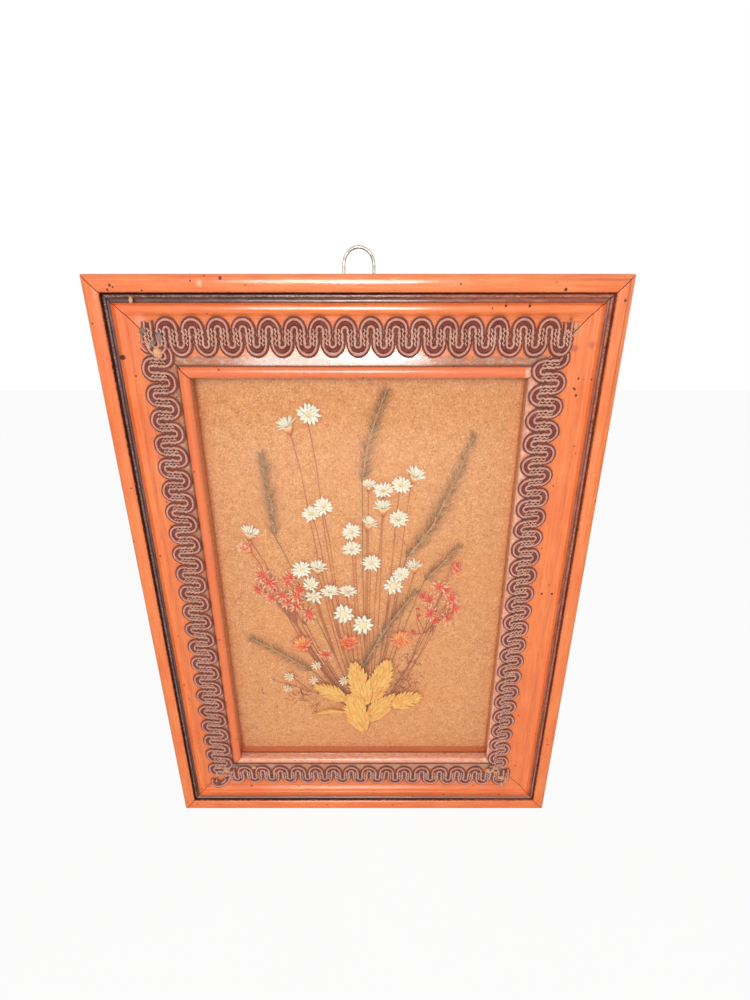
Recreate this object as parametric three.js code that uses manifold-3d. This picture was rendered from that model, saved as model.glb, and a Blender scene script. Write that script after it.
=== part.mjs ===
// A framed dried flower arrangement: a mitred wooden frame trimmed with gimp braid, which holds
// glass, a cloth ground and pressed flowers, and hangs by a wire ring on its back.
// Millimetres. X runs to the right, Z up, and the front faces -Y. The origin is the middle of
// the bottom edge, halfway through the frame's thickness.

import * as THREE from "three";
import { mergeVertices } from "three/addons/utils/BufferGeometryUtils.js";
import Module from "manifold-3d";

const wasm = await Module();
wasm.setup();

// Driving dimensions of the frame
const OPENING_WIDTH = 127;
const OPENING_HEIGHT = 178;
const RAIL_DEPTH = 19;

// Clearances
const MITRE_GAP = 0.3;
const SEAT_GAP = 0.25;
const TRIM_GAP = 0.3;
const NAIL_GAP = 0.12;
const RUNNING_GAP = 0.3;
const MERGE_DISTANCE = 1e-4;

// The moulding, from its outer edge inwards; drops are measured back from the front
const BAND_WIDTH = 5.1;
const BAND_DROP = 1;
const GROOVE_WIDTH = 3.4;
const GROOVE_DROP = 2.6;
const GROOVE_WALL = 0.3;
const GROOVE_BEAD_WIDTH = 1.7;
const GROOVE_BEAD_HEIGHT = 0.8;
const COVE_WIDTH = 4.6;
const COVE_START_DROP = 1.2;
const SEAT_WIDTH = 15.7;
const SEAT_OUTER_DROP = 4.4;
const SEAT_INNER_DROP = 2.9;
const LIP_WIDTH = 4.2;
const LIP_HEIGHT = 1.5;
const RABBET_WIDTH = 6;
const SHOULDER_DEPTH = 7;

// The layers held in the rabbet, from the front
const GLASS_THICKNESS = 2;
const SPACER_THICKNESS = 4.1;
const SPACER_SETBACK = 1;
const GROUND_THICKNESS = 0.8;
const BACKING_THICKNESS = 2;

// The brads that hold the backing in, one to a rail
const BRAD_DIAMETER = 1;
const BRAD_BITE = 6;
const BRAD_REACH = 4;
const BRAD_SIDES = 8;

// The gimp braid: one flat band that winds from side to side
const BRAID_PITCH = 9.15;
const RIGHT_BRAID_PITCH = 8.7;
const BRAID_BAND_WIDTH = 3.8;
const BRAID_THICKNESS = 1.5;
const BRAID_INSET = 0.4;
const BRAID_LIP_GAP = 1.3;
const RIGHT_BRAID_INSET = 5.1;
const RIGHT_BRAID_OVER_LIP = 1.4;
const TOP_BRAID_SHORTFALL = 5;
const BRAID_END_GAP = 0.8;

// The ring and the strap that carries it
const RING_WIRE = 1.1;
const RING_WIDTH = 12.2;
const RING_HEIGHT = 12.25;
const RING_CORNER = 1.5;
const RING_END_GAP = 0.3;
const RING_RISE = 8.5;
const STRAP_THICKNESS = 0.8;
const STRAP_WIDTH = 7;
const STRAP_LENGTH = 15;
const STRAP_NAIL_PITCH = 5;
const STRAP_NAIL_FIRST = 5;
const STRAP_NAIL_SHANK = 1.3;
const STRAP_NAIL_HEAD = 3;
const STRAP_NAIL_DOME = 0.9;
const STRAP_NAIL_LENGTH = 7;
const STRAP_NAIL_SIDES = 12;

// The flowers
const STEM_DIAMETER = 0.5;
const STEM_LAYER_PITCH = 0.62;
const STEM_FOOT_PITCH = 0.66;
const STEM_SIDES = 4;
const STEM_LAYERS = 3;
const HUB_DISTANCE = 9;
const HEAD_THICKNESS = 0.95;
const HEAD_GAP = 0.2;
const HUSK_THICKNESS = 0.9;
const HUSK_TIP_WIDTH = 0.5;
const HUSK_WIDTH = 8;
const BROAD_HUSK_WIDTH = 9.5;
const NARROW_HUSK_WIDTH = 6.5;
const THIN_HUSK_WIDTH = 2.6;
const FOXTAIL_THICKNESS = 2;
const FOXTAIL_END_WIDTH = 0.8;
const FOXTAIL_WIDTH = 6;
const SLIM_FOXTAIL_WIDTH = 5;
const STAR_RADIUS = 4.3;
const LARGE_RADIUS = 4.8;
const CUP_RADIUS = 3.8;
const NARROW_RADIUS = 3.6;
const PALE_RADIUS = 3;
const SMALL_RADIUS = 2.4;
const FLORET_RADIUS = 2.3;

// Sizes worked out from those above
const SEAT_START = BAND_WIDTH + GROOVE_WIDTH + COVE_WIDTH;
const LIP_START = SEAT_START + SEAT_WIDTH;
const RAIL_WIDTH = LIP_START + LIP_WIDTH;
const WIDTH = OPENING_WIDTH + 2 * RAIL_WIDTH;
const HEIGHT = OPENING_HEIGHT + 2 * RAIL_WIDTH;
const RABBET_START = RAIL_WIDTH - RABBET_WIDTH;
const SEAT_SLOPE = (SEAT_OUTER_DROP - SEAT_INNER_DROP) / SEAT_WIDTH;
const BRAID_WIDTH = SEAT_WIDTH - BRAID_INSET - BRAID_LIP_GAP;
const RIGHT_BRAID_WIDTH = SEAT_WIDTH - RIGHT_BRAID_INSET + RIGHT_BRAID_OVER_LIP;
const HELD_WIDTH = OPENING_WIDTH + 2 * (RABBET_WIDTH - SEAT_GAP);
const HELD_HEIGHT = OPENING_HEIGHT + 2 * (RABBET_WIDTH - SEAT_GAP);
const GLASS_FRONT = SHOULDER_DEPTH + SEAT_GAP;
const GLASS_BACK = GLASS_FRONT + GLASS_THICKNESS;
const SPACER_FRONT = GLASS_BACK + SEAT_GAP;
const GROUND_FRONT = SPACER_FRONT + SPACER_THICKNESS + SEAT_GAP;
const BACKING_FRONT = GROUND_FRONT + GROUND_THICKNESS + SEAT_GAP;
const BRAD_CENTRE = BACKING_FRONT + BACKING_THICKNESS + SEAT_GAP + BRAD_DIAMETER / 2;
const STRAP_FRONT = RAIL_DEPTH + SEAT_GAP;
const BARREL_BORE = RING_WIRE / 2 + RUNNING_GAP;
const BARREL_RADIUS = BARREL_BORE + STRAP_THICKNESS;
const HINGE_DEPTH = STRAP_FRONT + BARREL_RADIUS;
const HINGE_HEIGHT = HEIGHT + RING_RISE + RING_WIRE / 2 - RING_HEIGHT;
const HEAD_FRONT = GLASS_BACK + SEAT_GAP;
const SECOND_HEAD_FRONT = HEAD_FRONT + HEAD_THICKNESS + HEAD_GAP;

// The y of a point that lies a depth behind the frame's front
const yAt = (depth) => depth - RAIL_DEPTH / 2;

const COLOURS = {
  wood: { color: "#f08a52", roughness: 0.35, metalness: 0 },
  braid: { color: "#a8675a", roughness: 0.9, metalness: 0 },
  glass: { color: "#e9f1ee", roughness: 0.05, metalness: 0, transparent: true, opacity: 0.25 },
  card: { color: "#d9c7a0", roughness: 0.9, metalness: 0 },
  ground: { color: "#dca06a", roughness: 0.95, metalness: 0 },
  backing: { color: "#a5825c", roughness: 0.85, metalness: 0 },
  steel: { color: "#c9c6c0", roughness: 0.3, metalness: 0.9 },
  petals: { color: "#fff8da", roughness: 0.8, metalness: 0 },
  red: { color: "#e5603f", roughness: 0.8, metalness: 0 },
  orange: { color: "#ee8345", roughness: 0.8, metalness: 0 },
  husk: { color: "#f6b45c", roughness: 0.6, metalness: 0 },
  grass: { color: "#94805a", roughness: 0.95, metalness: 0 },
};

const root = new THREE.Group();

// Adds one named piece to a group, in its own material
function addPiece(group, name, geometry, colour) {
  const mesh = new THREE.Mesh(geometry, new THREE.MeshStandardMaterial(COLOURS[colour]));
  mesh.name = name;
  group.add(mesh);
  return mesh;
}

// A closed geometry as a solid that can be joined and cut
function solidOf(geometry) {
  const bare = geometry.index ? geometry.toNonIndexed() : geometry.clone();
  bare.deleteAttribute("normal");
  bare.deleteAttribute("uv");
  const merged = mergeVertices(bare, MERGE_DISTANCE);
  const triVerts = Uint32Array.from(merged.index.array);
  const vertProperties = merged.attributes.position.array;
  return new wasm.Manifold(new wasm.Mesh({ numProp: 3, vertProperties, triVerts }));
}

// A solid as a geometry again
function geometryOf(solid) {
  const made = solid.getMesh();
  const geometry = new THREE.BufferGeometry();
  geometry.setAttribute("position", new THREE.BufferAttribute(made.vertProperties, 3));
  geometry.setIndex(new THREE.BufferAttribute(made.triVerts, 1));
  geometry.computeVertexNormals();
  return geometry;
}

// Points along an elliptic arc, both ends included
function arc(x, y, radiusX, radiusY, from, to, steps) {
  const points = [];
  for (let i = 0; i <= steps; i++) {
    const angle = from + ((to - from) * i) / steps;
    points.push(new THREE.Vector2(x + radiusX * Math.cos(angle), y + radiusY * Math.sin(angle)));
  }
  return points;
}

// A cylinder between two points
function rod(from, to, radius, sides) {
  const path = new THREE.LineCurve3(from, to);
  const section = new THREE.Shape(arc(0, 0, radius, radius, 0, 2 * Math.PI, sides).slice(1));
  return new THREE.ExtrudeGeometry(section, { extrudePath: path, steps: 1, bevelEnabled: false });
}

// An outline in X and Z, extruded back from a depth
function plateAt(outline, frontDepth, thickness, hole) {
  const shape = new THREE.Shape(outline);
  if (hole) shape.holes.push(new THREE.Path(hole));
  const geometry = new THREE.ExtrudeGeometry(shape, { depth: thickness, bevelEnabled: false });
  geometry.rotateX(Math.PI / 2);
  geometry.translate(0, yAt(frontDepth + thickness), 0);
  return geometry;
}

// How far back the braid's seat lies, at a distance in from the rail's outer edge
const seatDrop = (inward) => SEAT_OUTER_DROP - SEAT_SLOPE * (inward - SEAT_START);

// The moulding's section: x runs in from the outer edge, y runs back from the front
function railOutline() {
  const bead = BAND_WIDTH + GROOVE_WALL + GROOVE_BEAD_WIDTH / 2;
  const grooveEnd = BAND_WIDTH + GROOVE_WIDTH;
  const cove = new THREE.QuadraticBezierCurve(
    new THREE.Vector2(grooveEnd, COVE_START_DROP),
    new THREE.Vector2(grooveEnd + COVE_WIDTH / 3, SEAT_OUTER_DROP),
    new THREE.Vector2(SEAT_START, SEAT_OUTER_DROP),
  );
  const halfTurn = [Math.PI, 2 * Math.PI, 6];
  return [
    new THREE.Vector2(0, RAIL_DEPTH),
    ...arc(BAND_WIDTH / 2, BAND_DROP, BAND_WIDTH / 2, BAND_DROP, ...halfTurn),
    new THREE.Vector2(BAND_WIDTH + GROOVE_WALL, GROOVE_DROP),
    ...arc(bead, GROOVE_DROP, GROOVE_BEAD_WIDTH / 2, GROOVE_BEAD_HEIGHT, ...halfTurn).slice(1),
    new THREE.Vector2(grooveEnd - GROOVE_WALL, GROOVE_DROP),
    ...cove.getPoints(4),
    ...arc(LIP_START + LIP_WIDTH / 2, SEAT_INNER_DROP, LIP_WIDTH / 2, LIP_HEIGHT, ...halfTurn),
    new THREE.Vector2(RAIL_WIDTH, SHOULDER_DEPTH),
    new THREE.Vector2(RABBET_START, SHOULDER_DEPTH),
    new THREE.Vector2(RABBET_START, RAIL_DEPTH),
  ];
}

// A rail along X with its outer edge at z = 0, its inner edge above it and mitred ends
function railGeometry(length) {
  const shape = new THREE.Shape(railOutline());
  const geometry = new THREE.ExtrudeGeometry(shape, { depth: 1, bevelEnabled: false });
  const place = geometry.attributes.position;
  for (let i = 0; i < place.count; i++) {
    const inward = place.getX(i);
    const halfLength = length / 2 - inward - MITRE_GAP * Math.SQRT1_2;
    const side = 1 - 2 * place.getZ(i);
    place.setXYZ(i, side * halfLength, yAt(place.getY(i)), inward);
  }
  return geometry;
}

// A brad, driven outwards into the rabbet's wall behind the backing
function bradGeometry(gap) {
  const inner = RABBET_START + BRAD_REACH + gap;
  const outer = RABBET_START - BRAD_BITE - gap;
  const from = new THREE.Vector3(0, yAt(BRAD_CENTRE), outer);
  const to = new THREE.Vector3(0, yAt(BRAD_CENTRE), inner);
  return rod(from, to, BRAD_DIAMETER / 2 + gap, BRAD_SIDES);
}

// The outline of the winding band: x along the braid, y across it
function braidOutline(length, width, pitch) {
  const loops = Math.round((length - BRAID_BAND_WIDTH) / pitch);
  const step = (length - BRAID_BAND_WIDTH) / (2 * loops);
  const turn = step / 2;
  const straight = width / 2 - turn - BRAID_BAND_WIDTH / 2;
  const near = turn - BRAID_BAND_WIDTH / 2;
  const far = turn + BRAID_BAND_WIDTH / 2;
  const start = -loops * step;
  const left = [new THREE.Vector2(start - BRAID_BAND_WIDTH / 2, -straight - turn)];
  const right = [new THREE.Vector2(start + BRAID_BAND_WIDTH / 2, -straight - turn)];
  for (let i = 0; i < 2 * loops; i++) {
    const x = start + (i + 0.5) * step;
    const up = i % 2 === 0;
    const y = up ? straight : -straight;
    const end = up ? 0 : 2 * Math.PI;
    left.push(...arc(x, y, up ? far : near, up ? far : near, Math.PI, end, up ? 4 : 2));
    right.push(...arc(x, y, up ? near : far, up ? near : far, Math.PI, end, up ? 2 : 4));
  }
  left.push(new THREE.Vector2(-start - BRAID_BAND_WIDTH / 2, straight + turn));
  right.push(new THREE.Vector2(-start + BRAID_BAND_WIDTH / 2, straight + turn));
  return [...right, ...left.reverse()];
}

// The braid lies on a slope between two points of the rail's section
function braidGeometry({ length, width, pitch, outerEdge, outerDrop, rise }) {
  const slope = Math.asin(rise / width);
  const shape = new THREE.Shape(braidOutline(length, width, pitch));
  const geometry = new THREE.ExtrudeGeometry(shape, { depth: BRAID_THICKNESS, bevelEnabled: false });
  const along = new THREE.Vector3(1, 0, 0);
  const across = new THREE.Vector3(0, -Math.sin(slope), Math.cos(slope));
  const out = new THREE.Vector3(0, -Math.cos(slope), -Math.sin(slope));
  geometry.translate(0, width / 2, TRIM_GAP);
  geometry.applyMatrix4(new THREE.Matrix4().makeBasis(along, across, out));
  geometry.translate(0, yAt(outerDrop), outerEdge);
  return geometry;
}

// The rails, each with its own braid and brad, turned into place as a group
const BRAID_START = SEAT_START + BRAID_INSET;
const BRAID_END = BRAID_START + BRAID_WIDTH;
const RIGHT_BRAID_START = SEAT_START + RIGHT_BRAID_INSET;
const SIDE_BRAID_LENGTH = HEIGHT - BRAID_START - BRAID_END - BRAID_END_GAP;
const SIDE_BRAID_SHIFT = (BRAID_END + BRAID_END_GAP - BRAID_START) / 2;
const BOTTOM_BRAID_LEFT = -WIDTH / 2 + BRAID_END + BRAID_END_GAP;
const BOTTOM_BRAID_RIGHT = WIDTH / 2 - RIGHT_BRAID_START - RIGHT_BRAID_WIDTH - BRAID_END_GAP;
const SEAT_RISE = SEAT_SLOPE * BRAID_WIDTH;
const LIP_RISE =
  seatDrop(RIGHT_BRAID_START) - (SEAT_INNER_DROP - LIP_HEIGHT) - RIGHT_BRAID_OVER_LIP * SEAT_SLOPE;
const SIDES = {
  bottom: {
    turn: 0,
    at: [0, 0],
    length: WIDTH,
    braidLength: BOTTOM_BRAID_RIGHT - BOTTOM_BRAID_LEFT,
    braidShift: (BOTTOM_BRAID_RIGHT + BOTTOM_BRAID_LEFT) / 2,
  },
  right: {
    turn: -Math.PI / 2,
    at: [WIDTH / 2, HEIGHT / 2],
    length: HEIGHT,
    braidLength: SIDE_BRAID_LENGTH,
    braidShift: -SIDE_BRAID_SHIFT,
    leaning: true,
  },
  top: {
    turn: Math.PI,
    at: [0, HEIGHT],
    length: WIDTH,
    braidLength: WIDTH - 2 * BRAID_START - TOP_BRAID_SHORTFALL,
    braidShift: TOP_BRAID_SHORTFALL / 2,
  },
  left: {
    turn: Math.PI / 2,
    at: [-WIDTH / 2, HEIGHT / 2],
    length: HEIGHT,
    braidLength: SIDE_BRAID_LENGTH,
    braidShift: SIDE_BRAID_SHIFT,
  },
};

function sideBraid(side) {
  const outerEdge = side.leaning ? RIGHT_BRAID_START : BRAID_START;
  const geometry = braidGeometry({
    length: side.braidLength,
    width: side.leaning ? RIGHT_BRAID_WIDTH : BRAID_WIDTH,
    pitch: side.leaning ? RIGHT_BRAID_PITCH : BRAID_PITCH,
    outerEdge,
    outerDrop: seatDrop(outerEdge),
    rise: side.leaning ? LIP_RISE : SEAT_RISE,
  });
  geometry.translate(side.braidShift, 0, 0);
  return geometry;
}

// The strap's nails: where they stand below the hinge, and their turned shape
const NAIL_DROPS = [0, 1].map((i) => STRAP_NAIL_FIRST + i * STRAP_NAIL_PITCH);

function nailGeometry(gap) {
  const shank = STRAP_NAIL_SHANK / 2 + gap;
  const under = STRAP_THICKNESS + SEAT_GAP + NAIL_GAP;
  const tip = under - STRAP_NAIL_LENGTH - gap;
  const head = arc(0, under, STRAP_NAIL_HEAD / 2, STRAP_NAIL_DOME, 0, Math.PI / 2, 4);
  head[head.length - 1].x = 0;
  const profile = [
    new THREE.Vector2(0, tip),
    new THREE.Vector2(shank, tip + shank),
    new THREE.Vector2(shank, under),
    ...(gap > 0 ? [new THREE.Vector2(0, under)] : head),
  ];
  const geometry = new THREE.LatheGeometry(profile, STRAP_NAIL_SIDES);
  geometry.translate(0, yAt(RAIL_DEPTH), 0);
  return geometry;
}

for (const [name, side] of Object.entries(SIDES)) {
  const group = new THREE.Group();
  group.position.set(side.at[0], 0, side.at[1]);
  group.rotation.y = side.turn;
  let rail = solidOf(railGeometry(side.length)).subtract(solidOf(bradGeometry(NAIL_GAP)));
  if (name === "top") {
    for (const drop of NAIL_DROPS) {
      const hole = nailGeometry(NAIL_GAP).translate(0, 0, HEIGHT - HINGE_HEIGHT + drop);
      rail = rail.subtract(solidOf(hole));
    }
  }
  addPiece(group, "rail_" + name, geometryOf(rail), "wood");
  addPiece(group, "braid_" + name, sideBraid(side), "braid");
  addPiece(group, "brad_" + name, bradGeometry(0), "steel");
  root.add(group);
}

// What the rabbet holds
function heldPlate(name, frontDepth, thickness, colour) {
  const geometry = new THREE.BoxGeometry(HELD_WIDTH, thickness, HELD_HEIGHT);
  const mesh = addPiece(root, name, geometry, colour);
  mesh.position.set(0, yAt(frontDepth + thickness / 2), HEIGHT / 2);
}

function rectangle(width, height) {
  const middle = HEIGHT / 2;
  return [
    new THREE.Vector2(-width / 2, middle - height / 2),
    new THREE.Vector2(width / 2, middle - height / 2),
    new THREE.Vector2(width / 2, middle + height / 2),
    new THREE.Vector2(-width / 2, middle + height / 2),
  ];
}

heldPlate("glass", GLASS_FRONT, GLASS_THICKNESS, "glass");
heldPlate("ground_cloth_card", GROUND_FRONT, GROUND_THICKNESS, "ground");
heldPlate("backing_board", BACKING_FRONT, BACKING_THICKNESS, "backing");
const spacerHole = rectangle(
  OPENING_WIDTH + 2 * SPACER_SETBACK,
  OPENING_HEIGHT + 2 * SPACER_SETBACK,
);
const spacerOutline = rectangle(HELD_WIDTH, HELD_HEIGHT);
addPiece(
  root,
  "spacer_frame",
  plateAt(spacerOutline, SPACER_FRONT, SPACER_THICKNESS, spacerHole),
  "card",
);

// The strap: a plate against the back, rolled into a barrel round the ring's wire
function strapGeometry() {
  const leave = 2 * Math.PI - Math.acos((STRAP_THICKNESS - BARREL_RADIUS) / BARREL_RADIUS);
  const bottom = HINGE_HEIGHT - STRAP_LENGTH;
  const outline = [
    new THREE.Vector2(yAt(STRAP_FRONT), bottom),
    new THREE.Vector2(yAt(STRAP_FRONT) + STRAP_THICKNESS, bottom),
    ...arc(yAt(HINGE_DEPTH), HINGE_HEIGHT, BARREL_RADIUS, BARREL_RADIUS, leave, 3 * Math.PI, 14),
  ];
  const bore = arc(yAt(HINGE_DEPTH), HINGE_HEIGHT, BARREL_BORE, BARREL_BORE, 0, 2 * Math.PI, 12);
  const shape = new THREE.Shape(outline);
  shape.holes.push(new THREE.Path(bore.slice(1)));
  const geometry = new THREE.ExtrudeGeometry(shape, { depth: STRAP_WIDTH, bevelEnabled: false });
  const toward = new THREE.Matrix4().makeBasis(
    new THREE.Vector3(0, 1, 0),
    new THREE.Vector3(0, 0, 1),
    new THREE.Vector3(1, 0, 0),
  );
  geometry.applyMatrix4(toward);
  geometry.translate(-STRAP_WIDTH / 2, 0, 0);
  return geometry;
}

let strap = solidOf(strapGeometry());
NAIL_DROPS.forEach((drop, i) => {
  const height = HINGE_HEIGHT - drop;
  strap = strap.subtract(solidOf(nailGeometry(NAIL_GAP).translate(0, 0, height)));
  addPiece(root, "strap_nail_" + (i + 1), nailGeometry(0), "steel").position.z = height;
});
addPiece(root, "hanger_strap", geometryOf(strap), "steel");

// The ring's wire, from one end in the barrel round to the other
class RingPath extends THREE.Curve {
  constructor() {
    super();
    const reach = (RING_WIDTH - RING_WIRE) / 2;
    const top = RING_HEIGHT - RING_WIRE - reach;
    const corner = RING_CORNER;
    this.points = [
      new THREE.Vector2(RING_END_GAP / 2, 0),
      ...arc(reach - corner, corner, corner, corner, -Math.PI / 2, 0, 4),
      ...arc(0, top, reach, reach, 0, Math.PI, 16),
      ...arc(corner - reach, corner, corner, corner, Math.PI, 1.5 * Math.PI, 4),
      new THREE.Vector2(-RING_END_GAP / 2, 0),
    ];
    this.course = new THREE.CurvePath();
    for (let i = 1; i < this.points.length; i++) {
      this.course.add(new THREE.LineCurve(this.points[i - 1], this.points[i]));
    }
  }
  getPoint(share) {
    const point = this.course.getPoint(share);
    return new THREE.Vector3(point.x, 0, point.y);
  }
}

const RING_SIDES = 8;
const RING_STEPS = 36;
const wireSection = new THREE.Shape(
  arc(0, 0, RING_WIRE / 2, RING_WIRE / 2, 0, 2 * Math.PI, RING_SIDES).slice(1),
);
const ring = addPiece(
  root,
  "hanger_ring",
  new THREE.ExtrudeGeometry(wireSection, {
    extrudePath: new RingPath(),
    steps: RING_STEPS,
    bevelEnabled: false,
  }),
  "steel",
);
ring.position.set(0, yAt(HINGE_DEPTH), HINGE_HEIGHT);

// Places in the opening: shares of its width from the middle, and of its height from its foot
const placeOf = ([acrossShare, upShare]) =>
  new THREE.Vector2(acrossShare * OPENING_WIDTH, RAIL_WIDTH + upShare * OPENING_HEIGHT);
const pointOf = (place, depth) => new THREE.Vector3(place.x, yAt(depth), place.y);

// A closed skin over rings of points that follow one another, with a fan over each end
function skin(rings, startPoint, endPoint) {
  const count = rings[0].length;
  const corners = [...rings.flat(), startPoint, endPoint].flatMap((point) => point.toArray());
  const start = rings.length * count;
  const faces = [];
  for (let i = 0; i < count; i++) {
    const next = (i + 1) % count;
    faces.push(start, next, i);
    for (let level = 0; level < start - count; level += count) {
      faces.push(level + i, level + next, level + count + i);
      faces.push(level + next, level + count + next, level + count + i);
    }
    faces.push(start + 1, start - count + i, start - count + next);
  }
  const geometry = new THREE.BufferGeometry();
  geometry.setAttribute("position", new THREE.Float32BufferAttribute(corners, 3));
  geometry.setIndex(faces);
  return geometry;
}

// Shares of a head's radius and thickness
const NOTCH_SHARE = 0.72;
const BUTTON_SHARE = 0.45;
const CALYX_SHARE = 0.4;
const PETAL_DEPTH_SHARE = 0.5;
const CENTRE = new THREE.Vector2();

const headFront = (head) => (head.behind ? SECOND_HEAD_FRONT : HEAD_FRONT);

// A flower head: pointed petals round a button, squashed and turned where it is seen aslant
function headGeometry(head) {
  const centre = placeOf(head.place);
  const pointAt = (depthShare, offset) =>
    pointOf(centre.clone().add(offset), headFront(head) + depthShare * HEAD_THICKNESS);
  const ringAt = (depthShare, reachShare) => {
    const ring = [];
    for (let i = 0; i < 2 * head.petals; i++) {
      const reach = head.radius * reachShare * (i % 2 ? NOTCH_SHARE : 1);
      const offset = new THREE.Vector2(reach, 0).rotateAround(CENTRE, (-Math.PI * i) / head.petals);
      offset.y *= head.squashShare ?? 1;
      offset.rotateAround(CENTRE, head.turn ?? 0);
      ring.push(pointAt(depthShare, offset));
    }
    return ring;
  };
  const rings = [ringAt(0, BUTTON_SHARE), ringAt(PETAL_DEPTH_SHARE, 1), ringAt(1, CALYX_SHARE)];
  return skin(rings, pointAt(0, CENTRE), pointAt(1, CENTRE));
}

// A stem or branch between two points, with its ends run on by its own radius
function stemGeometry(from, to) {
  const radius = STEM_DIAMETER / 2;
  const end = to.clone().sub(from).setLength(radius);
  return rod(from.clone().sub(end), to.clone().add(end), radius, STEM_SIDES);
}

// A husk or a foxtail: it swells and tapers along a curve in the plane of the flowers
const SWELL_POWER = 0.6;
const HUSK_SHAPE = {
  thickness: HUSK_THICKNESS,
  endWidth: HUSK_TIP_WIDTH,
  bulgePower: 1.1,
  stations: 9,
  sides: 4,
};
const FOXTAIL_SHAPE = {
  thickness: FOXTAIL_THICKNESS,
  endWidth: FOXTAIL_END_WIDTH,
  bulgePower: 0.8,
  stations: 9,
  sides: 6,
};

function taperedGeometry(places, depth, width, shape) {
  const path = new THREE.CatmullRomCurve3(places.map((place) => pointOf(placeOf(place), depth)));
  const rings = [];
  for (let i = 0; i < shape.stations; i++) {
    const along = i / (shape.stations - 1);
    const middle = path.getPointAt(along);
    const tangent = path.getTangentAt(along);
    const swell = Math.sin(Math.PI * along ** shape.bulgePower) ** SWELL_POWER;
    const halfWidth = (shape.endWidth + (width - shape.endWidth) * swell) / 2;
    const halfDepth = Math.min(shape.thickness / 2, halfWidth);
    const section = arc(0, 0, halfWidth, halfDepth, 0, 2 * Math.PI, shape.sides).slice(1);
    const toPoint = ({ x, y }) =>
      middle.clone().add(new THREE.Vector3(x * tangent.z, y, -x * tangent.x));
    rings.push(section.map(toPoint));
  }
  return skin(rings, path.getPointAt(0), path.getPointAt(1));
}

// The kinds of head, each at its place
const star = (x, z, more) => ({ place: [x, z], radius: STAR_RADIUS, petals: 8, ...more });
const small = (x, z) => ({ place: [x, z], radius: SMALL_RADIUS, petals: 6, behind: true });
const floret = (x, z) => ({ place: [x, z], radius: FLORET_RADIUS, petals: 5, behind: true });
const behind = { behind: true };
const large = { radius: LARGE_RADIUS };
const cup = { radius: CUP_RADIUS };
const narrow = { radius: NARROW_RADIUS };
const pale = { radius: PALE_RADIUS };
const aslant = { squashShare: 0.75 };

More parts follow.
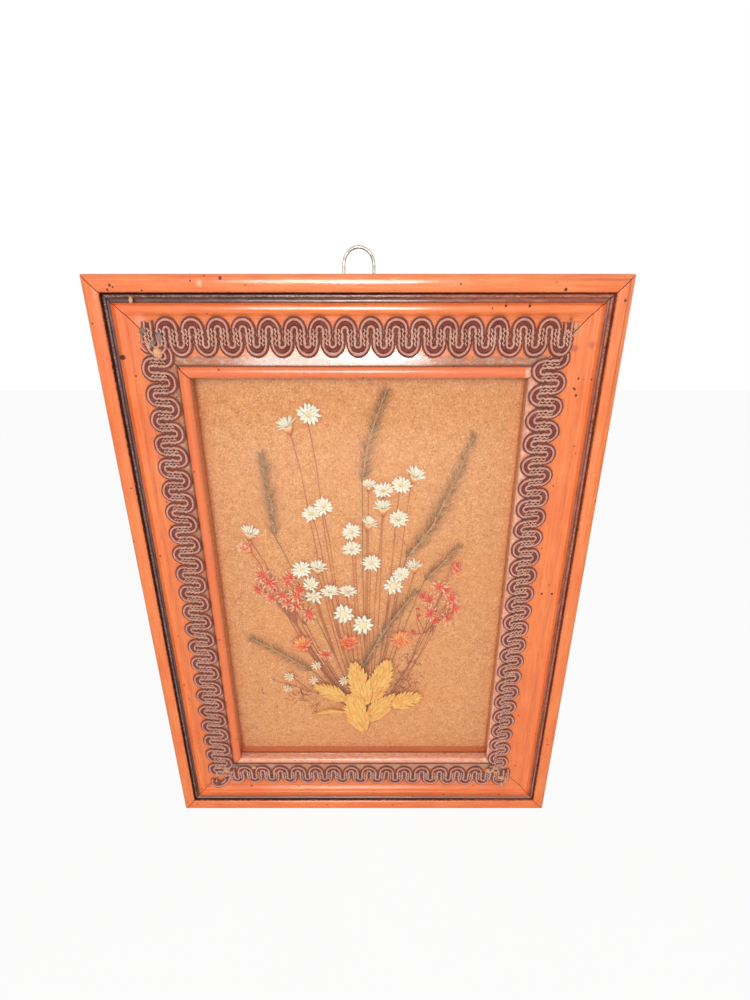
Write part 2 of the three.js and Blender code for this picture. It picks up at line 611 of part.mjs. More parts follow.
// The plants, by the shares of their heads' places. Heads that touch share a plant; a raised
// plant's stem parts just behind the heads instead of against the ground.
const PLANT_SHARES = {
  star_flower_1: { heads: [star(-0.23, 0.897, { ...aslant, turn: 0.4 })] },
  star_flower_2: { heads: [star(-0.161, 0.92, large)] },
  star_pair_3: { heads: [star(-0.168, 0.695, behind), star(-0.126, 0.715)] },
  star_flower_4: { heads: [star(-0.377, 0.658, { ...cup, ...aslant })] },
  star_pair_5: { heads: [star(0.027, 0.765, pale), star(0.075, 0.751, behind)] },
  star_pair_6: { heads: [star(0.133, 0.765), star(0.179, 0.785, behind)] },
  star_pair_7: { heads: [star(0.074, 0.712, cup), star(0.126, 0.683, behind)] },
  star_pair_8: {
    raised: true,
    hub: [0.014, 0.635],
    heads: [star(0.026, 0.671, { ...narrow, ...aslant, ...behind }), star(-0.033, 0.653)],
  },
  star_flower_9: { heads: [star(-0.034, 0.607, behind)] },
  star_flower_10: { heads: [star(0.033, 0.574)] },
  star_pair_11: {
    raised: true,
    hub: [0.172, 0.512],
    heads: [star(0.186, 0.561, { ...narrow, ...behind }), star(0.14, 0.544, narrow)],
  },
  star_flower_12: { heads: [star(0.112, 0.511, behind)] },
  star_pair_13: { heads: [star(-0.213, 0.557), star(-0.156, 0.557, behind)] },
  star_pair_14: {
    heads: [star(-0.184, 0.516, narrow), star(-0.176, 0.483, { ...cup, ...behind })],
  },
  star_pair_15: {
    heads: [star(-0.115, 0.497, cup), star(-0.051, 0.494, { ...cup, ...behind })],
  },
  star_flower_16: { heads: [star(-0.068, 0.437, large)] },
  star_flower_17: { heads: [star(0.002, 0.404, large)] },
  small_star_flower_1: { heads: [small(-0.178, 0.279)] },
  small_star_flower_2: { heads: [small(-0.075, 0.229)] },
  small_star_sprig: {
    hub: [-0.2, 0.2],
    heads: [small(-0.286, 0.242), small(-0.297, 0.205), small(-0.193, 0.229), small(-0.354, 0.229)],
  },
  red_bud_left: { colour: "red", heads: [star(-0.397, 0.616, { ...pale, ...behind })] },
  red_spray_left: {
    colour: "red",
    raised: true,
    hub: [-0.275, 0.44],
    heads: [
      floret(-0.355, 0.54),
      floret(-0.367, 0.499),
      floret(-0.332, 0.521),
      floret(-0.326, 0.479),
      floret(-0.272, 0.468),
      floret(-0.251, 0.535),
      floret(-0.238, 0.485),
      floret(-0.24, 0.457),
      floret(-0.198, 0.425),
    ],
  },
  red_spray_right: {
    colour: "red",
    raised: true,
    hub: [0.27, 0.41],
    heads: [
      floret(0.279, 0.507),
      floret(0.245, 0.471),
      floret(0.321, 0.471),
      floret(0.251, 0.432),
      floret(0.314, 0.422),
      floret(0.338, 0.451),
      floret(0.333, 0.551),
      floret(0.188, 0.378),
      floret(0.206, 0.427),
    ],
  },
  orange_flower_left: { colour: "orange", heads: [star(-0.227, 0.342)] },
  orange_flower_right: { colour: "orange", heads: [star(0.142, 0.36)] },
  red_cup_flower: { colour: "red", heads: [star(-0.052, 0.345, { ...cup, ...aslant })] },
  small_red_flower: { colour: "red", heads: [small(-0.141, 0.309)] },
  foxtail_left: { width: FOXTAIL_WIDTH, spike: [[-0.3, 0.645], [-0.304, 0.74], [-0.321, 0.837]] },
  foxtail_middle: { width: FOXTAIL_WIDTH, spike: [[0.004, 0.775], [0.035, 0.88], [0.083, 0.971]] },
  foxtail_right: {
    width: FOXTAIL_WIDTH,
    spike: [[0.156, 0.587], [0.233, 0.657], [0.301, 0.759], [0.363, 0.877]],
  },
  foxtail_far_right: {
    width: SLIM_FOXTAIL_WIDTH,
    spike: [[0.223, 0.526], [0.285, 0.572], [0.341, 0.619]],
  },
  foxtail_low_right: {
    width: SLIM_FOXTAIL_WIDTH,
    spike: [[0.004, 0.277], [0.088, 0.39], [0.196, 0.499]],
  },
  foxtail_low_left: {
    width: SLIM_FOXTAIL_WIDTH,
    spike: [[-0.199, 0.261], [-0.31, 0.315], [-0.419, 0.362]],
  },
};
const FOOT_SHARES = [0.008, 0.105];
const foot = placeOf(FOOT_SHARES);

// Where a plant's stem parts, or ends under its only head
function hubOf(plant) {
  if (plant.hub) return placeOf(plant.hub);
  if (plant.spike) return placeOf(plant.spike[0]);
  const middle = new THREE.Vector2();
  for (const head of plant.heads) {
    middle.add(placeOf(head.place).divideScalar(plant.heads.length));
  }
  if (plant.heads.length === 1) return middle;
  return middle.add(foot.clone().sub(middle).setLength(HUB_DISTANCE));
}

// The longest stems lie deepest, in layers; in each, their feet stand in the order of the fan
function layStems() {
  const stems = Object.entries(PLANT_SHARES).map(([name, plant]) => ({
    name,
    plant,
    hub: hubOf(plant),
  }));
  stems.sort((a, b) => b.hub.distanceTo(foot) - a.hub.distanceTo(foot));
  const perLayer = Math.ceil(stems.length / STEM_LAYERS);
  const deepest = GROUND_FRONT - HEAD_GAP - STEM_DIAMETER / 2;
  const angleOf = (stem) => stem.hub.clone().sub(foot).angle();
  for (let layer = 0; layer < STEM_LAYERS; layer++) {
    const row = stems.slice(layer * perLayer, (layer + 1) * perLayer);
    row.sort((a, b) => angleOf(b) - angleOf(a));
    row.forEach((stem, i) => {
      stem.depth = deepest - layer * STEM_LAYER_PITCH;
      stem.footX = foot.x + (i - (row.length - 1) / 2) * STEM_FOOT_PITCH;
    });
  }
  return stems;
}

// A whole plant in one piece: its stem, branches and heads, or its stem and spike
function plantGeometry({ plant, hub, depth, footX }) {
  const start = pointOf(new THREE.Vector2(footX, foot.y), depth);
  const hubPoint = pointOf(hub, depth);
  const pieces = [stemGeometry(start, hubPoint)];
  if (plant.spike) {
    const spikeDepth = HEAD_FRONT + FOXTAIL_THICKNESS / 2;
    pieces.push(stemGeometry(hubPoint, pointOf(hub, spikeDepth)));
    pieces.push(taperedGeometry(plant.spike, spikeDepth, plant.width, FOXTAIL_SHAPE));
    return joined(pieces);
  }
  const branchDepth = plant.raised ? SECOND_HEAD_FRONT + HEAD_THICKNESS / 2 : depth;
  if (plant.raised) pieces.push(stemGeometry(hubPoint, pointOf(hub, branchDepth)));
  for (const head of plant.heads) {
    const place = placeOf(head.place);
    const headDepth = headFront(head) + HEAD_THICKNESS / 2;
    if (plant.heads.length > 1) {
      pieces.push(stemGeometry(pointOf(hub, branchDepth), pointOf(place, branchDepth)));
    }
    if (headDepth < branchDepth) {
      pieces.push(stemGeometry(pointOf(place, branchDepth), pointOf(place, headDepth)));
    }
    pieces.push(headGeometry(head));
  }
  return joined(pieces);
}

const joined = (pieces) => geometryOf(pieces.map(solidOf).reduce((sum, piece) => sum.add(piece)));

for (const stem of layStems()) {
  const colour = stem.plant.colour ?? (stem.plant.spike ? "grass" : "petals");
  addPiece(root, stem.name, plantGeometry(stem), colour);
}

// The husks over the foot of the bunch, by the shares of their places from point to base
const HUSK_SHARES = {
  husk_left: {
    width: HUSK_WIDTH,
    behind: true,
    places: [[-0.194, 0.212], [-0.11, 0.19], [-0.05, 0.152]],
  },
  husk_thin: {
    width: THIN_HUSK_WIDTH,
    behind: true,
    places: [[-0.201, 0.107], [-0.12, 0.122], [-0.045, 0.118]],
  },
  husk_upper_left: {
    width: HUSK_WIDTH,
    places: [[-0.038, 0.279], [-0.005, 0.22], [0.019, 0.166]],
  },
  husk_upper_right: {
    width: HUSK_WIDTH,
    behind: true,
    places: [[0.101, 0.279], [0.07, 0.22], [0.023, 0.172]],
  },
  husk_right: {
    width: NARROW_HUSK_WIDTH,
    places: [[0.23, 0.183], [0.17, 0.165], [0.1, 0.13]],
  },
  husk_lower_right: {
    width: HUSK_WIDTH,
    behind: true,
    places: [[0.123, 0.172], [0.08, 0.135], [0.022, 0.086]],
  },
  husk_lower_left: {
    width: BROAD_HUSK_WIDTH,
    places: [[-0.057, 0.183], [-0.04, 0.11], [0.001, 0.051]],
  },
};

for (const [name, husk] of Object.entries(HUSK_SHARES)) {
  const depth = headFront(husk) + HUSK_THICKNESS / 2;
  addPiece(root, name, taperedGeometry(husk.places, depth, husk.width, HUSK_SHAPE), "husk");
}

export default root;
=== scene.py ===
import random
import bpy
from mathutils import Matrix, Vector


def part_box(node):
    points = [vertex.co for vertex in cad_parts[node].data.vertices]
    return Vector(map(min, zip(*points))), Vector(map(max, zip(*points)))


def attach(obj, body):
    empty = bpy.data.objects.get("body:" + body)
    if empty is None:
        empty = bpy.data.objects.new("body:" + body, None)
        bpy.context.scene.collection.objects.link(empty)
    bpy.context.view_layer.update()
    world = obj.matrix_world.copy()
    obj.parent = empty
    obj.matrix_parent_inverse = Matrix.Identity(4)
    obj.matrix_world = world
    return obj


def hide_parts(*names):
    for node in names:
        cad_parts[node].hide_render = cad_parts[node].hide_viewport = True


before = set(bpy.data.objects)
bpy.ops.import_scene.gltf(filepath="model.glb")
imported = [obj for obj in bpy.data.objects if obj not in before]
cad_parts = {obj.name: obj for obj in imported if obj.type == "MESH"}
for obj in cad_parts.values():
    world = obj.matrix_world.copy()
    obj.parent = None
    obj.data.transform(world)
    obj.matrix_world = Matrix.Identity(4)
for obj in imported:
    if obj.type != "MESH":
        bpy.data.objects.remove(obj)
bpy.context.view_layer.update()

import zlib
from math import atan2, ceil, cos, pi, radians, sin, sqrt

import bpy
import numpy as np
from mathutils import Vector, noise

# Everything is built in millimetres, as (across, depth behind the front, height), and goes into
# the scene in metres. The object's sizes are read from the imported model.
MM = 0.001
FORWARD = Vector((0, -1, 0))


def box_of(node):
    """A node's lowest and highest corners in the builder's coordinates."""
    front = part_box("rail_bottom")[0].y
    return [Vector((p.x, p.y - front, p.z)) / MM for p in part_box(node)]


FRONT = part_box("rail_bottom")[0].y / MM
HALF_WIDTH, _, TOP = box_of("rail_right")[1]
_, RAIL_DEPTH, RAIL_WIDTH = box_of("rail_bottom")[1]
OPENING_WIDTH = 2 * (HALF_WIDTH - RAIL_WIDTH)
OPENING_HEIGHT = TOP - 2 * RAIL_WIDTH
GROUND_FRONT = box_of("ground_cloth_card")[0].y


def in_scene(point):
    return (point[0] * MM, (FRONT + point[1]) * MM, point[2] * MM)


def placed(across, up, depth=0):
    """A point from its shares of the opening's width from the middle and height from its foot."""
    return Vector((across * OPENING_WIDTH, depth, RAIL_WIDTH + up * OPENING_HEIGHT))


def seeded(name):
    return random.Random(zlib.crc32(name.encode()))


def add_object(name, data):
    made = bpy.data.objects.new(name, data)
    bpy.context.scene.collection.objects.link(made)
    return made


# Node trees and materials

SOCKETS = {
    "colour": "Base Color",
    "coat": "Coat Weight",
    "coat_roughness": "Coat Roughness",
    "sheen": "Sheen Weight",
    "specular": "Specular IOR Level",
}


def linear(colour):
    """Linear light from a colour written as 0 to 255 on the screen; all else stays as it is."""
    if not isinstance(colour, tuple):
        return colour
    parts = [c / 255 for c in colour]
    return tuple(c / 12.92 if c <= 0.04045 else ((c + 0.055) / 1.055) ** 2.4 for c in parts) + (1,)


class Value:
    """A node's output that can be reckoned with; each operation adds a node."""

    def __init__(self, nodes, socket):
        self.nodes, self.socket = nodes, socket

    def __add__(self, other):
        return self.nodes.calc("ADD", self, other)

    def __sub__(self, other):
        return self.nodes.calc("SUBTRACT", self, other)

    def __rsub__(self, other):
        return self.nodes.calc("SUBTRACT", other, self)

    def __truediv__(self, other):
        return self.nodes.calc("DIVIDE", self, other)

    def __mul__(self, other):
        kind = "VectorMath" if isinstance(other, tuple) else "Math"
        return self.nodes.out(kind, (self, other), operation="MULTIPLY")


class Nodes:
    """A node tree. Most of its methods add a node and return its output."""

    def __init__(self, tree):
        self.tree = tree

    def node(self, kind, inputs=(), **settings):
        node = self.tree.nodes.new("ShaderNode" + kind)
        for name, value in settings.items():
            setattr(node, name, value)
        for key, value in inputs.items() if isinstance(inputs, dict) else enumerate(inputs):
            self.feed(node.inputs[key], value)
        return node

    def out(self, kind, inputs=(), output=0, **settings):
        return Value(self, self.node(kind, inputs, **settings).outputs[output])

    def feed(self, socket, value):
        if isinstance(value, Value):
            self.tree.links.new(value.socket, socket)
        else:
            socket.default_value = value

    def calc(self, operation, first, second=0.0):
        return self.out("Math", (first, second), operation=operation)


class Look(Nodes):
    def __init__(self, name):
        self.material = bpy.data.materials.new(name)
        self.material.use_nodes = True
        super().__init__(self.material.node_tree)
        self.shader = self.tree.nodes["Principled BSDF"]

    def place(self):
        """The three numbers stored on the mesh: for tubes along, round and a mark of its own."""
        return self.out("Attribute", (), "Vector", attribute_name="place")

    def position(self):
        """The place on the object, in millimetres."""
        return self.out("TexCoord", (), "Object") * (1000, 1000, 1000)

    def axes(self, vector):
        return [Value(self, socket) for socket in self.node("SeparateXYZ", [vector]).outputs]

    def distance(self, vector, point):
        return self.out("VectorMath", (vector, point), "Value", operation="DISTANCE")

    def noise(self, vector, scale, detail=3.0, roughness=0.55):
        inputs = dict(Vector=vector, Scale=scale, Detail=detail, Roughness=roughness)
        return self.out("TexNoise", inputs, "Fac")

    def cells(self, vector, scale, output="Distance"):
        return self.out("TexVoronoi", dict(Vector=vector, Scale=scale), output)

    def band(self, value, low, high, start=0.0, end=1.0):
        """Runs smoothly from start to end while the value runs from low to high."""
        inputs = (value, low, high, start, end)
        return self.out("MapRange", inputs, interpolation_type="SMOOTHSTEP")

    def strip(self, value, start, low, high, end):
        """One while the value is between low and high, and nothing outside start and end."""
        return self.band(value, start, low) * self.band(value, high, end, 1, 0)

    def line(self, value, middle, near, far, strength=1):
        """Full strength while the value is near the middle, and nothing when it is far."""
        return self.band(self.calc("ABSOLUTE", value - middle), near, far, strength, 0)

    def ramp(self, value, *stops):
        node = self.node("ValToRGB", [value])
        while len(node.color_ramp.elements) < len(stops):
            node.color_ramp.elements.new(0.5)
        for element, (stop, colour) in zip(node.color_ramp.elements, stops):
            element.position = stop
            element.color = linear(colour)
        return Value(self, node.outputs["Color"])

    def mix(self, share, first, second):
        inputs = {"Factor": share, 6: linear(first), 7: linear(second)}
        return self.out("Mix", inputs, 2, data_type="RGBA")

    def layers(self, colour, *layers):
        """Lays colours over one another, each with its share."""
        for share, tint in layers:
            colour = self.mix(share, colour, tint)
        return colour

    def bump(self, height, distance, under=None):
        """Height is in shares of the distance, which is in millimetres."""
        inputs = dict(Height=height, Distance=distance * MM)
        return self.out("Bump", dict(inputs, Normal=under) if under else inputs)

    def finish(self, **sockets):
        for name, value in sockets.items():
            self.feed(self.shader.inputs[SOCKETS.get(name, name.title())], linear(value))
        return self.material


# Camera, lamps, world and floor

CAMERA_PLACE = (5.95, -277.8, 245.4)
CAMERA_PITCH = 33.03
FOCAL_LENGTH = 24.39
CAMERA_SHIFT = 0.2088
# Each lamp's place, target, size and power
LAMPS = {
    "key": ((-60, -1000, 430), (0, 0, 120), (320, 320), 4.65),
    "flash": ((6, -288, 262), (0, 0, 150), (74, 16), 0.14),
}
WHITE = (1, 1, 1, 1)
WORLD_STRENGTH = 0.42
FLOOR_WHITENESS = 0.93
FLOOR_REACH = 1500


def add_camera():
    camera = add_object("camera", bpy.data.cameras.new("camera"))
    camera.data.lens = FOCAL_LENGTH
    camera.data.shift_y = CAMERA_SHIFT
    camera.data.clip_start = 10 * MM
    camera.location = in_scene(CAMERA_PLACE)
    camera.rotation_euler = (radians(90 - CAMERA_PITCH), 0, 0)
    bpy.context.scene.camera = camera


def add_lamps():
    for name, (place, target, (width, height), power) in LAMPS.items():
        lamp = add_object(name, bpy.data.lights.new(name, "AREA"))
        lamp.data.shape = "ELLIPSE"
        lamp.data.size, lamp.data.size_y = width * MM, height * MM
        lamp.data.energy = power
        lamp.location = in_scene(place)
        direction = Vector(in_scene(target)) - Vector(in_scene(place))
        lamp.rotation_euler = direction.to_track_quat("-Z", "Y").to_euler()


def add_world():
    """White where the camera, mirrors and glass see it, and a soft light everywhere else."""
    world = bpy.data.worlds.new("world")
    world.use_nodes = True
    nodes = Nodes(world.node_tree)
    nodes.tree.nodes.clear()
    share = nodes.out("LightPath", (), "Is Camera Ray")
    for ray in ("Is Glossy Ray", "Is Transmission Ray"):
        share = nodes.calc("MAXIMUM", share, nodes.out("LightPath", (), ray))
    light = nodes.out("Background", dict(Color=WHITE, Strength=WORLD_STRENGTH))
    seen = nodes.out("Background", dict(Color=WHITE))
    nodes.node("OutputWorld", dict(Surface=nodes.out("MixShader", (share, light, seen))))
    bpy.context.scene.world = world


def floor_look():
    """A pale floor; the camera sees it nearly white, with the object's shadow kept faintly."""
    look = Look("floor")
    tone = look.noise(look.position(), 0.01, 3)
    look.finish(
        colour=look.ramp(tone, (0.4, (238, 236, 233)), (0.6, (243, 241, 239))), roughness=0.7
    )
    share = look.out("LightPath", (), "Is Camera Ray") * FLOOR_WHITENESS
    own = Value(look, look.shader.outputs[0])
    seen = look.out("MixShader", (share, own, look.out("Emission")))
    look.feed(look.tree.nodes["Material Output"].inputs["Surface"], seen)
    return look.material


def add_floor():
    reach = FLOOR_REACH
    corners = [(-reach, -reach, 0), (reach, -reach, 0), (reach, reach, 0), (-reach, reach, 0)]
    patches = Patches()
    patches.add(corners, [(0, 1, 2, 3)], 0, corners)
    patches.piece("floor", [floor_look()])


# Meshes: patches, each in one material, are collected and become one piece


class Patches:
    def __init__(self):
        self.points, self.faces, self.slots, self.places = [], [], [], []

    def add(self, points, faces, slot, places):
        start = len(self.points)
        self.points.extend(points)
        self.faces.extend(tuple(start + i for i in face) for face in faces)
        self.slots.extend([slot] * len(faces))
        self.places.extend(places)

    def tube(self, course, widths, slot, sides=6, heights=None, up=None, mark=0.0):
        """A closed tube of elliptic section; its half widths lie across the direction up."""
        count = len(course)
        widths, heights = (np.broadcast_to(size, count) for size in (widths, heights or widths))
        points, places = [], []
        length, normal = 0.0, up
        for i, middle in enumerate(course):
            tangent = (course[min(i + 1, count - 1)] - course[max(i - 1, 0)]).normalized()
            sideways = tangent.cross(normal or tangent.orthogonal()).normalized()
            raised = sideways.cross(tangent)
            if up is None:
                normal = raised
            if i:
                length += (middle - course[i - 1]).length
            for k in range(sides):
                turn = 2 * pi * k / sides
                wide = sideways * (widths[i] * cos(turn))
                points.append(middle + wide + raised * (heights[i] * sin(turn)))
                places.append((length, k / sides, mark))
        faces = quads(count - 1, sides)
        faces.append(tuple(reversed(range(sides))))
        faces.append(tuple((count - 1) * sides + k for k in range(sides)))
        self.add(points, faces, slot, places)

    def press(self, start, nearest, furthest):
        """Squeezes the points from the one numbered start into a range of depths."""
        depths = [p.y for p in self.points[start:]]
        low, high = min(depths), max(depths)
        if low >= nearest and high <= furthest:
            return
        share = min(1.0, (furthest - nearest) / (high - low))
        half = share * (high - low) / 2
        middle = (low + high) / 2
        target = min(max(middle, nearest + half), furthest - half)
        for point in self.points[start:]:
            point.y = target + (point.y - middle) * share

    def piece(self, name, materials, node=None, slot=None, body="frame", sharp=None):
        """The object made of the patches; it takes the place of a solid node."""
        mesh = bpy.data.meshes.new(name)
        mesh.from_pydata([in_scene(p) for p in self.points], [], self.faces)
        for material in materials:
            mesh.materials.append(material)
        mesh.polygons.foreach_set("material_index", self.slots)
        mesh.polygons.foreach_set("use_smooth", [True] * len(self.faces))
        stored = mesh.attributes.new("place", "FLOAT_VECTOR", "POINT")
        stored.data.foreach_set("vector", np.array(self.places, np.float32).ravel())
        mesh.update()
        if sharp:
            mesh.set_sharp_from_angle(angle=radians(sharp))
        piece = add_object(name, mesh)
        if node:
            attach(piece, body)
            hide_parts(node)
        return piece


def quads(rings, sides):
    """The faces between rings of points that follow one another."""
    faces = []
    for i in range(0, rings * sides, sides):
        for k in range(sides):
            after = (k + 1) % sides
            faces.append((i + k, i + after, i + after + sides, i + k + sides))
    return faces


def eased(points, steps):
    """A smooth course through points, with a number of steps between each two."""
    course = []
    for i in range(len(points) - 1):
        before, a, b, after = (points[min(max(k, 0), len(points) - 1)] for k in range(i - 1, i + 3))
        for step in range(steps):
            t = step / steps
            pull_a, pull_b = (b - before) / 2, (after - a) / 2
            rise = (2 * t**3 - 3 * t**2 + 1) * a + (t**3 - 2 * t**2 + t) * pull_a
            course.append(rise + (3 * t**2 - 2 * t**3) * b + (t**3 - t**2) * pull_b)
    return course + [points[-1].copy()]


def length_of(course):
    return sum((b - a).length for a, b in zip(course, course[1:]))


# The four sides: each has its own along and inward directions


class Side:
    def __init__(self, name, half, origin, along, inward):
        self.name, self.half = name, half
        self.origin, self.along, self.inward = Vector(origin), Vector(along), Vector(inward)

    def point(self, along, inward, depth):
        return self.origin + self.along * along + self.inward * inward + Vector((0, depth, 0))


SIDES = [
    Side("bottom", HALF_WIDTH, (0, 0, 0), (1, 0, 0), (0, 0, 1)),
    Side("right", TOP / 2, (HALF_WIDTH, 0, TOP / 2), (0, 0, 1), (-1, 0, 0)),
    Side("top", HALF_WIDTH, (0, 0, TOP), (-1, 0, 0), (0, 0, -1)),
    Side("left", TOP / 2, (-HALF_WIDTH, 0, TOP / 2), (0, 0, -1), (1, 0, 0)),
]

# The moulding's section, from its outer edge inwards
MITRE_GAP = 0.3
BAND_WIDTH, BAND_DROP = 5.5, 1.0
GROOVE_END, GROOVE_DROP, GROOVE_WALL = 8.7, 2.6, 0.3
BEAD_WIDTH, BEAD_HEIGHT = 1.5, 0.8
COVE_STEPS = [
    (0, 1.2), (0.14, 1.9), (0.4, 2.7), (0.75, 3.22), (1.1, 3.38), (1.5, 3.34), (1.95, 3.27),
    (2.4, 3.32), (2.9, 3.5), (3.4, 3.85), (3.8, 4.2), (4.15, 4.37), (4.4, 4.4),
]
LIP_WIDTH, LIP_HEIGHT, LIP_FOOT_DEPTH = 4.2, 1.5, 2.9
LIP_START = RAIL_WIDTH - LIP_WIDTH
SHOULDER_DEPTH = box_of("glass")[0].y - 0.25
RABBET_START = RAIL_WIDTH - 6.0
EDGE_ROUNDING = 0.35


def bulge(start, width, base, height, steps):
    """Half an ellipse that rises from the base towards the front."""
    turns = [pi * i / steps for i in range(steps + 1)]
    return [(start + width * (1 - cos(t)) / 2, base - height * sin(t)) for t in turns]


def moulding_section():
    bead = BAND_WIDTH + GROOVE_WALL
    corners = [
        (0, RAIL_DEPTH),
        *bulge(0, BAND_WIDTH, BAND_DROP, BAND_DROP, 14),
        (bead, GROOVE_DROP),
        *bulge(bead, BEAD_WIDTH, GROOVE_DROP, BEAD_HEIGHT, 10)[1:],
        (GROOVE_END - GROOVE_WALL, GROOVE_DROP),
        *[(GROOVE_END + across, depth) for across, depth in COVE_STEPS],
        *bulge(LIP_START, LIP_WIDTH, LIP_FOOT_DEPTH, LIP_HEIGHT, 14),
        (RAIL_WIDTH, SHOULDER_DEPTH),
        (RABBET_START, SHOULDER_DEPTH),
        (RABBET_START, RAIL_DEPTH),
    ]
    return rounded([Vector(corner) for corner in corners])


def rounded(corners):
    """Takes the sharp corners off an outline."""
    outline = []
    for i, corner in enumerate(corners):
        before = corners[i - 1] - corner
        after = corners[(i + 1) % len(corners)] - corner
        if before.angle(after) > radians(150):
            outline.append(corner)
            continue
        reach = min(EDGE_ROUNDING, before.length * 0.45, after.length * 0.45)
        first, last = corner + before.normalized() * reach, corner + after.normalized() * reach
        outline += [first, (first + last + 2 * corner) / 4, last]
    return outline


def add_rails(wood):
    section = moulding_section()
    count = len(section)
    for side in SIDES:
        places = [
            (end * (side.half - inward - MITRE_GAP * sqrt(0.5)), inward, depth)
            for end in (-1, 1)
            for inward, depth in section
        ]
        faces = quads(1, count) + [tuple(range(count))[::-1], tuple(range(count, 2 * count))]
        patches = Patches()
        patches.add([side.point(*place) for place in places], faces, 0, places)
        node = "rail_" + side.name
        patches.piece(node + "_wood", [wood], node, "varnished_wood", sharp=35)


# Where the varnish has pits: across and up in millimetres, and how wide each is
PITS = [
    (-87.2, 217.8, 1.5), (-86.4, 240.5, 0.8), (-87.5, 239.1, 0.7), (-47.7, 242.6, 1.0),
    (-88.2, 229.7, 0.7), (-58.2, 241.8, 0.5), (72.6, 239.2, 1.0), (61.2, 234.1, 0.8),
    (52.7, 234.1, 0.7), (81.8, 206.9, 0.8), (82.7, 204.7, 0.9), (82.7, 210.5, 0.7),
    (94.0, 235.9, 0.8), (80.5, 123.4, 0.8), (84.9, 123.6, 0.9), (-60.1, 12.8, 0.8),
    (-23.4, 12.9, 0.5), (-34.8, 12.5, 0.5),
]

# Blots on the varnish: across, up, radius and colour
BLOTS = [
    (-55.2, 241.1, 1.5, (255, 196, 160)),
    (76.9, 230.0, 1.2, (140, 74, 54)),
    (85.6, 221.8, 1.9, (196, 92, 70)),
    (79.6, 220.6, 1.8, (186, 88, 66)),
    (79.0, 226.5, 3.2, (214, 148, 112)),
    (-79.0, 229.5, 3.0, (244, 158, 128)),
]


